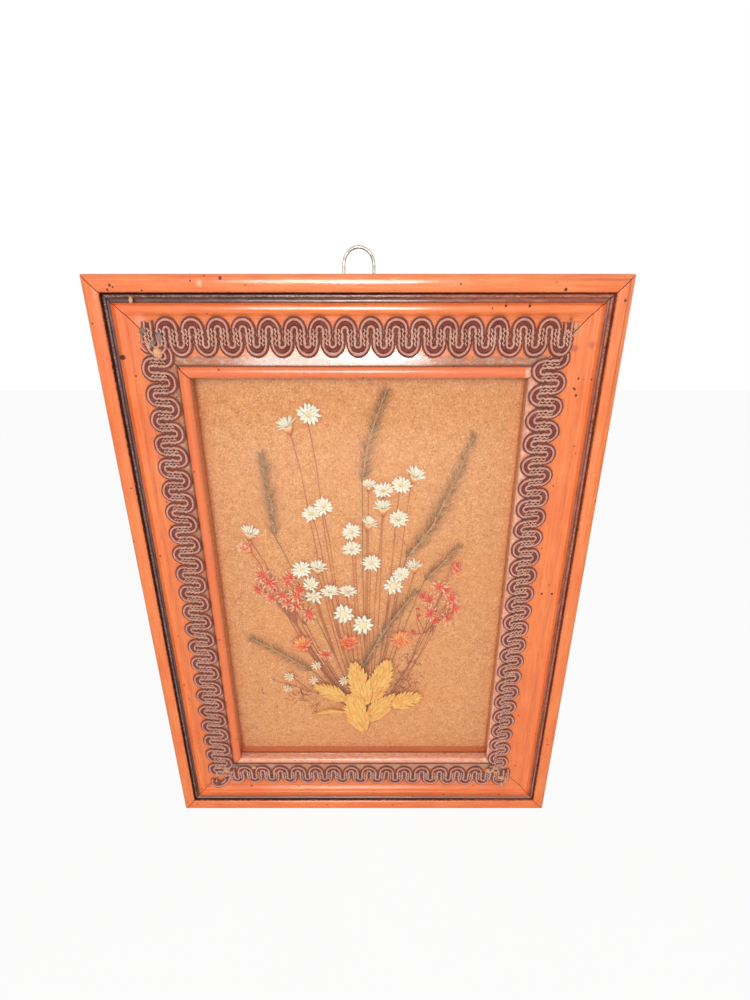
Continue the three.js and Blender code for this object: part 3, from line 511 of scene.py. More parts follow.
def wood_look():
    look = Look("varnished_wood")
    place, spot = look.place(), look.position()
    _, inward, depth = look.axes(place)
    across, _, up = look.axes(spot)
    # Distances from the lip's start and from the rail's inner edge
    on_lip, on_edge = inward - LIP_START, inward - RAIL_WIDTH
    grain = look.noise(place * (0.05, 1, 1), 1.6, 6, 0.6)
    smear = look.noise(place * (0.6, 1, 1), 0.7, 5, 0.7)
    ragged = look.noise(place * (0.5, 1, 1), 1.3, 4) * 0.8
    wood = look.ramp(grain, (0.28, (228, 112, 56)), (0.5, (249, 136, 74)), (0.72, (252, 150, 90)))
    cloud = look.band(look.noise(spot, 0.045, 3), 0.4, 0.7, 0.0, 0.5)
    lip = look.band(on_lip, -0.3, 0.4) * 0.6
    # On the bottom rail alone, the distance inward is also the height
    bottom = look.line(up, inward, 0.05, 0.1)

    # Films of dried glue beside the braid and on the right rail's inner edge, and a pale smear on
    # the bottom lip that is partly painted highlight; on the bottom rail the glue is also painted
    # paler as painted light.
    # Painted shade darkens the lip's foot and its inner face, least on the bottom rail.
    seat = look.band(on_lip, -4, -2.5) * look.band(on_lip - bottom * 1.9, -0.2, 0.1, 1, 0)
    glue = seat * look.band(smear, 0.35, 0.6, 0.35, 0.95)
    film_and_light = look.ramp(smear, (0.4, (188, 126, 98)), (0.55, (216, 164, 136)), (0.7, (236, 198, 172)))
    # On the bottom rail the glue is painted paler: partly its own pinker colour, partly painted
    # light against the shade it falls in
    film_and_light = look.mix(bottom * 0.6, film_and_light, (244, 194, 168))
    # Painted shade in the crease at the lip's foot, weaker on the bottom rail
    foot = look.strip(on_lip, -1, -0.2, 0.1, 0.5) * (0.65 - bottom * 0.5)
    pink = look.band(across - OPENING_WIDTH / 2, -2, -1)
    pink = pink * look.band(inward + (smear - 0.5), 28.6, 29.6)
    rosy = look.ramp(smear, (0.35, (214, 128, 100)), (0.6, (250, 190, 160)))
    # A pale glue smear on the bottom lip, partly painted highlight
    lip_smear_and_highlight = look.band(on_lip, 0.6, 1.2) * bottom * look.band(smear, 0.35, 0.6, 0.15, 0.75)
    # Painted shade on the lip's inner face, strong on the top and upright rails and faint on the
    # bottom rail, which faces up
    inner_face_shade = look.band(on_edge, -0.5, -0.1) * look.band(depth, 2.4, 3.4)
    inner_face_shade = inner_face_shade * look.band(up - RAIL_WIDTH, -0.2, 2, 0.1, 0.75)

    # The dark stain in the groove, with painted shade along its outer edge under the band, specks
    # of painted highlight on its bead and, on the bottom rail, a painted highlight line along the
    # bead; a painted shade line on the right band's rounded flank near the top corner; and a faint
    # darker strip where the cove meets the seat
    groove = inward - BAND_WIDTH
    edge = groove + (ragged - 0.4)
    end = GROOVE_END - BAND_WIDTH
    stained = look.strip(edge, -0.25, 0.15, end - 0.3, end + 0.1)
    worn = look.noise(place * (0.15, 1, 1), 1.2, 4)
    stain = look.mix(
        look.band(across, -40, 70),
        look.ramp(worn, (0.3, (72, 38, 32)), (0.55, (106, 68, 60)), (0.75, (130, 92, 84))),
        look.ramp(worn, (0.3, (130, 64, 44)), (0.55, (168, 90, 64)), (0.75, (192, 120, 92))),
    )
    # Painted shade along the groove's outer edge under the band, weaker towards the right
    rim = look.strip(edge, -0.1, 0.1, 0.4, 0.8) * look.band(across, 40, 80, 0.75, 0.35)
    # Painted highlight: bright specks along the bead's crest
    painted_glints = look.band(look.noise(place * (1.1, 1, 1), 1.9, 3), 0.5, 0.6)
    painted_glints = painted_glints * look.line(groove, 1.15, 0.12, 0.4, 0.6)
    # Painted highlight: a light line along the bead, on the bottom rail alone
    pale = look.line(groove, 1.5, 0.5, 0.9, 0.65) * bottom
    # Painted shade: a darker line on the rounded flank of the band near the top right corner
    band_shade_line = look.line(inward, 1.7, 0.1, 0.5, 0.5) * look.band(across, 60, 90)
    band_shade_line = band_shade_line * look.band(up, 190, 204)
    seam = look.strip(inward, 12.4, 13.2, 13.2, 14.2) * 0.25

    pits = look.band(look.cells(spot, 0.2), 0.045, 0.075, 1.0, 0.0)
    flat = spot * (1, 0, 1)
    for x, z, width in PITS:
        near = look.distance(flat, (x, 0, z)) + ragged * 0.25
        pits = look.calc("MAXIMUM", pits, look.band(near, width * 0.5, width * 0.5 + 0.25, 1, 0))
    blots = []
    for x, z, reach, tint in BLOTS:
        near = look.distance(flat, (x, 0, z)) + smear * reach
        blots.append((look.band(near, reach * 0.7, reach * 1.5, 0.75, 0), tint))

    # The back and the rabbet have no varnish
    raw = look.band(depth - RAIL_DEPTH, -0.3, -0.05)
    hidden = look.band(on_edge, -0.4, -0.1) * look.band(depth - SHOULDER_DEPTH, -0.4, 0)
    bare = look.ramp(grain, (0.3, (176, 132, 92)), (0.7, (212, 172, 128)))
    colour = look.layers(
        wood,
        (cloud, (238, 112, 58)),
        (lip, (232, 116, 72)),
        (glue, film_and_light),
        (foot, (120, 74, 54)),
        (pink, rosy),
        (lip_smear_and_highlight, (248, 194, 166)),
        (inner_face_shade, (140, 78, 52)),
        (stained, stain),
        (rim, (70, 34, 28)),
        (painted_glints, (198, 164, 154)),
        (pale, (180, 136, 122)),
        (band_shade_line, (150, 84, 52)),
        (seam, (206, 104, 66)),
        (pits, (96, 46, 30)),
        *blots,
        (look.calc("MAXIMUM", raw, hidden), bare),
    )
    rough = look.band(look.noise(spot, 0.6, 4), 0.3, 0.7, 0.24, 0.4)
    rough = look.mix(look.calc("MAXIMUM", raw, stained), rough, (150, 150, 150))
    height = look.bump(look.noise(place * (0.2, 1, 1), 0.5, 4), 0.35)
    height = look.bump(look.noise(spot, 1.6, 4, 0.7) * glue, 0.8, height)
    height = look.bump(1.0 - pits, 0.3, height)
    return look.finish(
        colour=colour, roughness=rough, normal=height, specular=0.25, coat=0.75, coat_roughness=0.12
    )


# The gimp braid: a dark core between two cords winds from side to side, and threads zigzag over
# its legs in three lanes. The core's dark colour is partly painted shade, and thin dark cords
# along both edges are painted shadow. Its materials are numbered as in braid_looks.

CORD, CORE_AND_SHADE, THREAD, FUZZ, SHADOW_OUTLINE, ORANGE, GREY, TAN = range(8)
# Each cord's offset from the band's middle, in steps, then half width and height, lift, material
CORDS = [
    # The core between the cords, dark partly as painted shade
    (0.0, 0.8, 0.4, 0.4, CORE_AND_SHADE),
    (-0.25, 0.42, 0.45, 0.95, CORD),
    (0.25, 0.42, 0.45, 0.95, CORD),
    # Thin dark cords along both edges, as painted shadow
    (-0.42, 0.32, 0.3, 0.5, SHADOW_OUTLINE),
    (0.42, 0.32, 0.3, 0.5, SHADOW_OUTLINE),
]
BAND_REACH = 1.9
LOOSE_END = 7
TURN_STEPS, LEG_STEPS = 10, 12
LEG_WAVE, LEG_SWING = 2.6, 0.24
FRAYED = 0.9
THREAD_LANES = (-0.26, 0.0, 0.26)
THREAD_RADIUS, THREAD_STEP, THREAD_SWING, THREAD_LIFT = 0.3, 0.8, 0.3, 1.25
FUZZ_PER_MM, FUZZ_RADIUS = 2.2, 0.025

# Where the middles of each braid's first and last turns are along its side, how many steps lie
# between them, where the first turn is (1 is the cloth's side), the braid's edges at its start and
# at its end, and the share that is kept of its first and of its last leg
BRAIDS = {
    "bottom": (-66.9, 72.3, 30, -1, (15.9, 27.8), (14.2, 27.0), (1, 1)),
    "right": (29.8, 217.7, 44, -1, (21.2, 32.4), (18.2, 32.7), (1, 0.1)),
    "top": (73.8, -74.2, 32, 1, (13.0, 25.9), (13.0, 25.9), (1, 1)),
    "left": (222.8, 25.0, 44, -1, (15.4, 28.1), (14.8, 29.0), (0.3, 1)),
}
# The upright braids go under the top one at the upper corners
TUCK_START, TUCK_END, TUCK_DEPTH = 217.0, 220.5, 0.9


def surface_depths():
    """The moulding's front, as distances inward and the depths of what rests on it."""
    outline = [p for p in moulding_section() if p.y < SHOULDER_DEPTH - 0.5]
    outline.sort(key=lambda p: p.x)
    inward = np.arange(0, RAIL_WIDTH, 0.25)
    depth = np.interp(inward, [p.x for p in outline], [p.y for p in outline])
    near = [depth[max(0, i - 4) : i + 5].min() for i in range(len(inward))]
    return inward, np.convolve(np.pad(near, 2, "edge"), np.ones(5) / 5, "valid")


BED = surface_depths()


class BraidBed:
    """Where a braid lies: from along and across it and the height above its bed to a point."""

    def __init__(self, side):
        self.side = side
        first, last, steps, self.first_side, start, end, self.ends = BRAIDS[side.name]
        self.edges = (start, end)
        axis = 0 if side.name in ("bottom", "top") else 2
        reach = [(place - side.origin[axis]) * side.along[axis] for place in (first, last)]
        self.step = (reach[1] - reach[0]) / steps
        self.middle = sum(reach) / 2
        self.turns = steps + 1
        self.length = (self.turns + 1) * self.step
        self.width = sum(outer - inner for inner, outer in self.edges) / 2
        self.straight = self.width / 2 - self.step / 2 - BAND_REACH
        self.shift = zlib.crc32(side.name.encode()) % 97

    def point(self, along, across, height):
        spot = Vector((along * 0.2, across * 0.16, self.shift))
        share = min(1, max(0, along / self.length + 0.5))
        edge = min(1, max(0, abs(along) - self.length / 2 + LOOSE_END) / LOOSE_END)
        along += (0.35 + 0.5 * edge) * noise.noise(spot)
        across += (0.3 + 0.5 * edge) * noise.noise(spot + Vector((7, 3, 1)))
        height += 0.15 * noise.noise(spot * 2.5)
        (low, high), (low_end, high_end) = self.edges
        low, high = low + (low_end - low) * share, high + (high_end - high) * share
        inward = (low + high) / 2 + across * (high - low) / self.width
        depth = np.interp(inward, *BED)
        spot = self.side.point(self.middle + along, inward, depth - height)
        if self.side.name in ("right", "left"):
            spot.y += TUCK_DEPTH * np.interp(spot.z, (TUCK_START, TUCK_END), (0, 1))
        return spot

    def winding(self, offset, fray):
        """The course of a cord at an offset, in steps, from the middle of the band."""
        turn, span = self.step / 2, self.turns * self.step / 2
        offset *= self.step
        side = self.first_side
        course = []
        for k in range(3):
            across = -side * (self.straight + (turn - fray[0]) * (1 - k / 2))
            course.append((offset * -side - span, across))
        for i in range(self.turns):
            middle = (i + 0.5) * self.step - span
            reach = turn + side * -offset
            course += self.leg(middle - reach, side)
            for k in range(TURN_STEPS + 1):
                swing = pi * k / TURN_STEPS
                rise = self.straight + reach * sin(swing)
                course.append((middle - reach * cos(swing), side * rise))
            side = -side
        last = span - side * offset
        course += self.leg(last, side)
        for k in range(3):
            course.append((last, side * (self.straight + (turn - fray[1]) * k / 2)))
        first, last = (round((1 - share) * (LEG_STEPS + 2)) for share in self.ends)
        return course[first : len(course) - last]

    def leg(self, along, side):
        """The wavy course between two turns, towards one side."""
        course = []
        for k in range(1, LEG_STEPS):
            across = (2 * k / LEG_STEPS - 1) * self.straight
            swing = LEG_SWING * sin(2 * pi * across / LEG_WAVE + along)
            fade = sin(pi * k / LEG_STEPS) ** 0.5
            course.append((along + swing * fade, side * across))
        return course


def add_braids(looks):
    for side in SIDES:
        bed = BraidBed(side)
        rng = seeded(side.name)
        patches = Patches()
        for offset, width, height, lift, slot in CORDS:
            fray = [rng.uniform(-FRAYED, FRAYED) for _ in range(2)]
            course = [bed.point(x, y, lift) for x, y in bed.winding(offset, fray)]
            swell = [rng.uniform(0.92, 1.08) for _ in course]
            widths, heights = ([size * s for s in swell] for size in (width, height))
            patches.tube(course, widths, slot, 6, heights, FORWARD, rng.random())
        add_threads(patches, bed, rng)
        for _ in range(round(bed.length * FUZZ_PER_MM)):
            along = rng.uniform(-bed.length / 2, bed.length / 2)
            across = rng.choice((-1, 1)) * rng.uniform(0.25, 0.5) * bed.width
            start = bed.point(along, across, rng.uniform(0.6, 1.4))
            hair(patches, start, rng, rng.uniform(0.6, 1.8), FUZZ_RADIUS, FUZZ)
        for lump in GLUE[side.name]:
            add_lump(patches, rng, *lump)
        if side.name == "left":
            add_fold(patches)
        name = "braid_" + side.name
        patches.piece(name + "_cords", looks, name, "gimp_braid")


def add_threads(patches, bed, rng):
    reach = bed.straight + 0.1 * bed.step
    count = round(2 * reach / THREAD_STEP)
    for leg in range(bed.turns + 1):
        if leg == 0 and bed.ends[0] < 1 or leg == bed.turns and bed.ends[1] < 1:
            continue
        along = (leg - bed.turns / 2) * bed.step
        for i, lane in enumerate(THREAD_LANES):
            course = []
            for k in range(count + 1):
                swing = THREAD_SWING * (1 if (k + i) % 2 else -1) + rng.uniform(-0.07, 0.07)
                across = (k / count * 2 - 1) * reach + rng.uniform(-0.08, 0.08)
                height = THREAD_LIFT + rng.uniform(-0.08, 0.08)
                course.append(bed.point(along + lane * bed.step + swing, across, height))
            sizes = [THREAD_RADIUS * rng.uniform(0.8, 1.25) for _ in course]
            patches.tube(course, sizes, THREAD, 5)


# Lumps of glue and scraps at the corners, for each side: across, up, width, height, material
GLUE = {
    "bottom": [
        (65.8, 24.9, 5.2, 3.0, ORANGE), (69.4, 23.6, 2.6, 2.0, ORANGE),
        (72.7, 20.0, 3.4, 2.4, ORANGE), (75.4, 17.2, 2.4, 2.4, ORANGE),
        (73.4, 14.6, 1.6, 4.2, ORANGE), (71.0, 18.2, 2.6, 2.0, GREY),
        (67.6, 27.0, 2.6, 1.2, GREY), (-71.9, 24.8, 3.2, 2.4, ORANGE),
        (-65.6, 27.8, 2.6, 1.4, GREY), (-57.2, 27.0, 2.4, 1.8, TAN),
    ],
    "right": [(71.0, 26.4, 3.0, 1.6, GREY)],
    "top": [
        (-78.2, 226.4, 2.6, 2.2, GREY), (-72.6, 224.2, 2.4, 3.6, GREY),
        (-75.4, 222.4, 2.8, 2.4, GREY), (-77.0, 221.4, 1.6, 1.6, TAN),
        (-79.8, 225.2, 1.4, 1.6, TAN), (-80.0, 236.2, 1.3, 2.4, TAN),
        (78.6, 228.0, 1.6, 2.6, TAN),
    ],
    "left": [
        (-73.9, 219.2, 3.4, 4.0, TAN), (-66.9, 29.6, 2.2, 2.6, GREY),
        (-77.6, 15.6, 4.0, 2.6, CORE_AND_SHADE),
    ],
}
GLUE_LIFT = 1.15
LUMP_HALF_DEPTH = 0.5
LUMP_UNEVENNESS = 0.5


def add_lump(patches, rng, across, up, width, height, slot):
    """A lumpy drop that sits on the braid or on the moulding."""
    inward = min(HALF_WIDTH - abs(across), up, TOP - up)
    middle = Vector((across, np.interp(inward, *BED) - GLUE_LIFT, up))
    rings, sides = 5, 10
    shift = Vector((rng.uniform(0, 50), 0, 0))
    points = []
    for ring in range(rings + 1):
        turn = pi * ring / rings
        for k in range(sides):
            angle = 2 * pi * k / sides
            x, z = sin(turn) * cos(angle), sin(turn) * sin(angle)
            ray = Vector((x, -cos(turn), z))
            swell = 1 + LUMP_UNEVENNESS * noise.noise(ray * 1.3 + shift)
            size = Vector((ray.x * width / 2, ray.y * LUMP_HALF_DEPTH, ray.z * height / 2))
            points.append(middle + size * swell)
    patches.add(points, quads(rings, sides), slot, [tuple(p) for p in points])


# The crumpled end of the left braid, folded under at its lower corner: the radius, half width,
# lift and material of each cord's arc
FOLD_CENTRE, FOLD_HEIGHT = (-75.8, 17.8), 0.42
FOLD_ARCS = [
    (4.6, 0.32, 0.5, SHADOW_OUTLINE), (4.1, 0.42, 0.95, CORD), (3.1, 0.8, 0.7, CORE_AND_SHADE),
    (2.1, 0.42, 1.0, CORD), (1.3, 0.5, 0.8, CORE_AND_SHADE),
]


def add_fold(patches):
    for radius, size, lift, slot in FOLD_ARCS:
        course = []
        for degrees in range(150, 367, 12):
            turn = radians(degrees)
            x = FOLD_CENTRE[0] + radius * 1.15 * cos(turn)
            z = FOLD_CENTRE[1] + radius * sin(turn)
            z += 0.35 * (x - FOLD_CENTRE[0])
            inward = min(HALF_WIDTH - abs(x), z)
            course.append(Vector((x, np.interp(inward, *BED) - lift, z)))
        patches.tube(course, size, slot, 6, FOLD_HEIGHT, FORWARD, 0.4)


def hair(patches, start, rng, length, radius, slot, lean=0.35):
    """A fine curved fibre that starts at a point and stays near the plane of the front."""
    heading = rng.uniform(0, 2 * pi)
    bend = rng.uniform(-1.2, 1.2)
    course = [start]
    for step in range(3):
        turn = heading + bend * step / 2
        lift = rng.uniform(-lean, lean)
        direction = Vector((cos(turn), -lift, sin(turn)))
        course.append(course[-1] + direction * (length / 3))
    patches.tube(course, [radius] * 3 + [radius / 2], slot, 3)


def braid_looks():
    rows = [
        ("braid_cord", (206, 120, 102), (242, 160, 138), (255, 196, 174)),
        # The core's dark colours, partly painted shade
        ("braid_core", (92, 34, 28), (128, 52, 40), (172, 94, 76)),
        ("braid_thread", (214, 132, 106), (252, 184, 156), (255, 222, 198)),
        ("braid_fuzz", (186, 124, 104), (214, 154, 130), (236, 186, 160)),
        # The thin dark edge cords: painted shadow along the braid's edges
        ("braid_outline", (92, 36, 26), (128, 58, 44), (176, 104, 84)),
        ("glue_orange", (206, 124, 78), (242, 166, 112), (255, 200, 146)),
        ("glue_grey", (104, 78, 70), (146, 116, 106), (186, 158, 146)),
        ("glue_tan", (222, 142, 84), (252, 184, 124), (255, 206, 150)),
    ]
    return [cord_look(*row) for row in rows]


def cord_look(name, dark, middle, light):
    """Twisted yarn: its strands run round the cord as they go along it."""
    look = Look(name)
    along, turn, _ = look.axes(look.place())
    spot = look.position()
    twist = look.calc("PINGPONG", along * 1.7 + turn * 2.0, 0.5) * 2.0
    tone = twist * 0.45 + look.noise(spot, 0.35, 4) * 0.6
    colour = look.ramp(tone, (0.22, dark), (0.5, middle), (0.78, light))
    height = look.bump(look.noise(spot, 7.0, 3), 0.08, look.bump(twist, 0.18))
    return look.finish(colour=colour, roughness=0.75, normal=height, sheen=0.25)


# The napped cloth that the flowers lie on, and what holds it

CLOTH_STEP = 1.0
CLOTH_THICKNESS = 0.35
NAP_DEPTH = 0.09
LINT_COUNT, LINT_RADIUS = 900, 0.022


def slab(low, high, relief=0.0):
    """A sheet with many faces between two corners; relief says how deep its nap is."""
    across = round((high.x - low.x) / CLOTH_STEP)
    up = round((high.z - low.z) / CLOTH_STEP)
    points = []
    for front in (True, False):
        for j in range(up + 1):
            for i in range(across + 1):
                x = low.x + (high.x - low.x) * i / across
                z = low.z + (high.z - low.z) * j / up
                edge = i in (0, across) or j in (0, up)
                nap = 0.0 if edge else relief * noise.noise(Vector((x, 0, z)) * 0.45)
                points.append(Vector((x, low.y + relief - nap if front else high.y, z)))
    faces = []
    row, layer = across + 1, (across + 1) * (up + 1)
    for j in range(up):
        for i in range(across):
            a = j * row + i
            faces.append((a, a + 1, a + 1 + row, a + row))
            faces.append((layer + a, layer + a + row, layer + a + 1 + row, layer + a + 1))
    rim = list(range(across)) + [across + j * row for j in range(up)]
    rim += [up * row + i for i in range(across, 0, -1)] + [j * row for j in range(up, 0, -1)]
    for start, after in zip(rim, rim[1:] + rim[:1]):
        faces.append((after, start, start + layer, after + layer))
    patches = Patches()
    patches.add(points, faces, 0, [tuple(p) for p in points])
    return patches


def add_ground():
    """The cloth is a sheet of its own, stretched over the front of its card."""
    node = "ground_cloth_card"
    low, high = box_of(node)
    seam = low.y + CLOTH_THICKNESS
    cloth = slab(low, Vector((high.x, seam, high.z)), NAP_DEPTH)
    sheet = cloth.piece("ground_cloth", [cloth_look()], node, "ground_cloth")
    card = slab(Vector((low.x, seam, low.z)), high)
    look = card_look("ground_card", (186, 160, 124), (212, 190, 156))
    board = card.piece("ground_card", [look], node, "card", sharp=35)
    rng = seeded("lint")
    lint = Patches()
    for _ in range(LINT_COUNT):
        spot = placed(rng.uniform(-0.5, 0.5), rng.uniform(0, 1), GROUND_FRONT - 0.02)
        hair(lint, spot, rng, rng.uniform(0.4, 1.6), LINT_RADIUS, 0, 0.08)
    hairs = lint.piece("ground_cloth_lint", [lint_look()], node, "ground_cloth")


def cloth_look():
    look = Look("ground_cloth")
    spot = look.position()
    mottle = look.noise(spot, 0.22, 6, 0.7)
    nap = look.noise(spot, 1.9, 4, 0.75)
    speck = look.axes(look.cells(spot, 1.9, "Color"))[0]
    tone = mottle * 0.25 + nap * 0.75
    colour = look.layers(
        look.ramp(tone, (0.36, (196, 120, 62)), (0.5, (233, 163, 100)), (0.64, (255, 200, 138))),
        (look.band(look.noise(spot, 0.02, 3), 0.35, 0.7, 0.0, 0.35), (240, 160, 94)),
        (look.band(speck, 0.93, 0.98, 0.0, 0.45), (255, 224, 176)),
        (look.band(speck, 0.1, 0.04, 0.0, 0.45), (180, 108, 60)),
    )
    height = look.bump(nap, 0.18, look.bump(mottle, 0.25))
    return look.finish(colour=colour, roughness=0.85, normal=height, sheen=0.3)


def lint_look():
    look = Look("lint")
    tone = look.noise(look.position(), 0.6, 2)
    colour = look.ramp(tone, (0.3, (234, 176, 128)), (0.7, (255, 214, 176)))
    return look.finish(colour=colour, roughness=0.8)


def glass_look():
    """Clear glass as a pane: only what it reflects is seen."""
    look = Look("clear_glass")
    smudges = look.noise(look.position(), 0.03, 4)
    return look.finish(
        colour=(255, 255, 255),
        metallic=1.0,
        roughness=look.band(smudges, 0.3, 0.7, 0.04, 0.09),
        alpha=look.band(look.out("LayerWeight", dict(Blend=0.25), "Fresnel"), 0.0, 1.0, 0.025, 0.6),
    )


def card_look(name, dark, light):
    look = Look(name)
    spot = look.position()
    fibres = look.noise(spot * (1, 1, 0.3), 1.1, 5, 0.7)
    stain = look.band(look.noise(spot, 0.02, 4), 0.45, 0.7, 0.0, 0.3)
    colour = look.ramp(fibres, (0.3, dark), (0.7, light))
    colour = look.mix(stain, colour, tuple(round(c * 0.8) for c in dark))
    return look.finish(colour=colour, roughness=0.9, normal=look.bump(fibres, 0.12))


def metal_look(name, dark, light, shine):
    look = Look(name)
    spot = look.position()
    worn = look.noise(spot, 0.9, 5, 0.6)
    return look.finish(
        colour=look.ramp(worn, (0.35, dark), (0.65, light)),
        metallic=1.0,
        roughness=look.band(worn, 0.35, 0.65, shine + 0.2, shine),
        normal=look.bump(look.noise(spot * (1, 1, 4), 3.0, 2), 0.04),
    )


# The hanging ring

RING_CORNER = 1.5
RING_END = 0.15


def add_ring():
    """The wire ring, as a smooth wire through the same course as the solid one."""
    low, high = box_of("hanger_ring")
    wire = (high.y - low.y) / 2
    depth = (low.y + high.y) / 2
    left, right = low.x + wire, high.x - wire
    bottom = low.z + wire
    arch = (right - left) / 2
    corner = RING_CORNER - wire
    course = [(RING_END, bottom)]
    for x, z, radius, start, end, steps in (
        (right - corner, bottom + corner, corner, -90, 0, 6),
        (0, high.z - wire - arch, arch, 0, 180, 24),
        (left + corner, bottom + corner, corner, 180, 270, 6),
    ):
        for i in range(steps + 1):
            turn = radians(start + (end - start) * i / steps)
            course.append((x + radius * cos(turn), z + radius * sin(turn)))
    course.append((-RING_END, bottom))
    patches = Patches()
    patches.tube([Vector((x, depth, z)) for x, z in course], wire, 0, 16, up=FORWARD)
    steel = metal_look("ring_steel", (166, 160, 150), (206, 202, 194), 0.24)
    patches.piece("hanger_ring_wire", [steel], "hanger_ring", "hanger_steel", "ring")


def dress_nodes():
    """The solid nodes that stay get their materials."""
    steel = metal_look("nail_steel", (120, 112, 104), (176, 168, 158), 0.3)
    looks = {
        "glass": glass_look(),
        "backing_board": card_look("backing_board", (136, 108, 78), (168, 138, 104)),
        "spacer_frame": card_look("spacer_card", (214, 126, 82), (236, 150, 104)),
        "hanger_strap": metal_look("strap_steel", (150, 146, 138), (196, 192, 184), 0.26),
        "strap_nail_1": steel,
        "strap_nail_2": steel,
    }
    for side in SIDES:
        looks["brad_" + side.name] = steel
    for name, material in looks.items():
        node = bpy.data.objects[name]
        node.data.materials.clear()
        node.data.materials.append(material)


# The flowers. A head is given by its shares across and up, radius, tilt from the viewer and lean,
# in degrees, kind and row: tilt 0 faces the viewer, 70 is seen from its side, lean is where its
# face points, and row 1 lies behind row 0. Most stems reach from the foot to a head; those of a
# plant with more than two heads part at its hub.

STAR, LARGE, CUP, NARROW, PALE, SMALL, FLORET = 4.8, 5.2, 4.7, 4.4, 3.6, 2.8, 3.9
FLOWER_ROWS = (9.55, 11.5), (10.8, 12.9)
FOOT = (0.008, 0.105)
STEM_RADIUS, SPRAY_STEM_RADIUS, BRANCH_RADIUS, SPINE_RADIUS = 0.22, 0.17, 0.12, 0.3
STEM_LAYERS, LAYER_STEP, STEM_CLEARANCE = 3, 0.62, 0.45
CALYX_LEAVES = 10
TWIG_DEPTHS = (12.0, 13.2)


def plant(bow, *heads, **other):
    """The bow is how far the stems bend to one side, in millimetres."""
    return dict(bow=bow, heads=heads, **other)


def florets(*heads):
    return [(across, up, FLORET, tilt, lean, "floret", 1) for across, up, tilt, lean in heads]


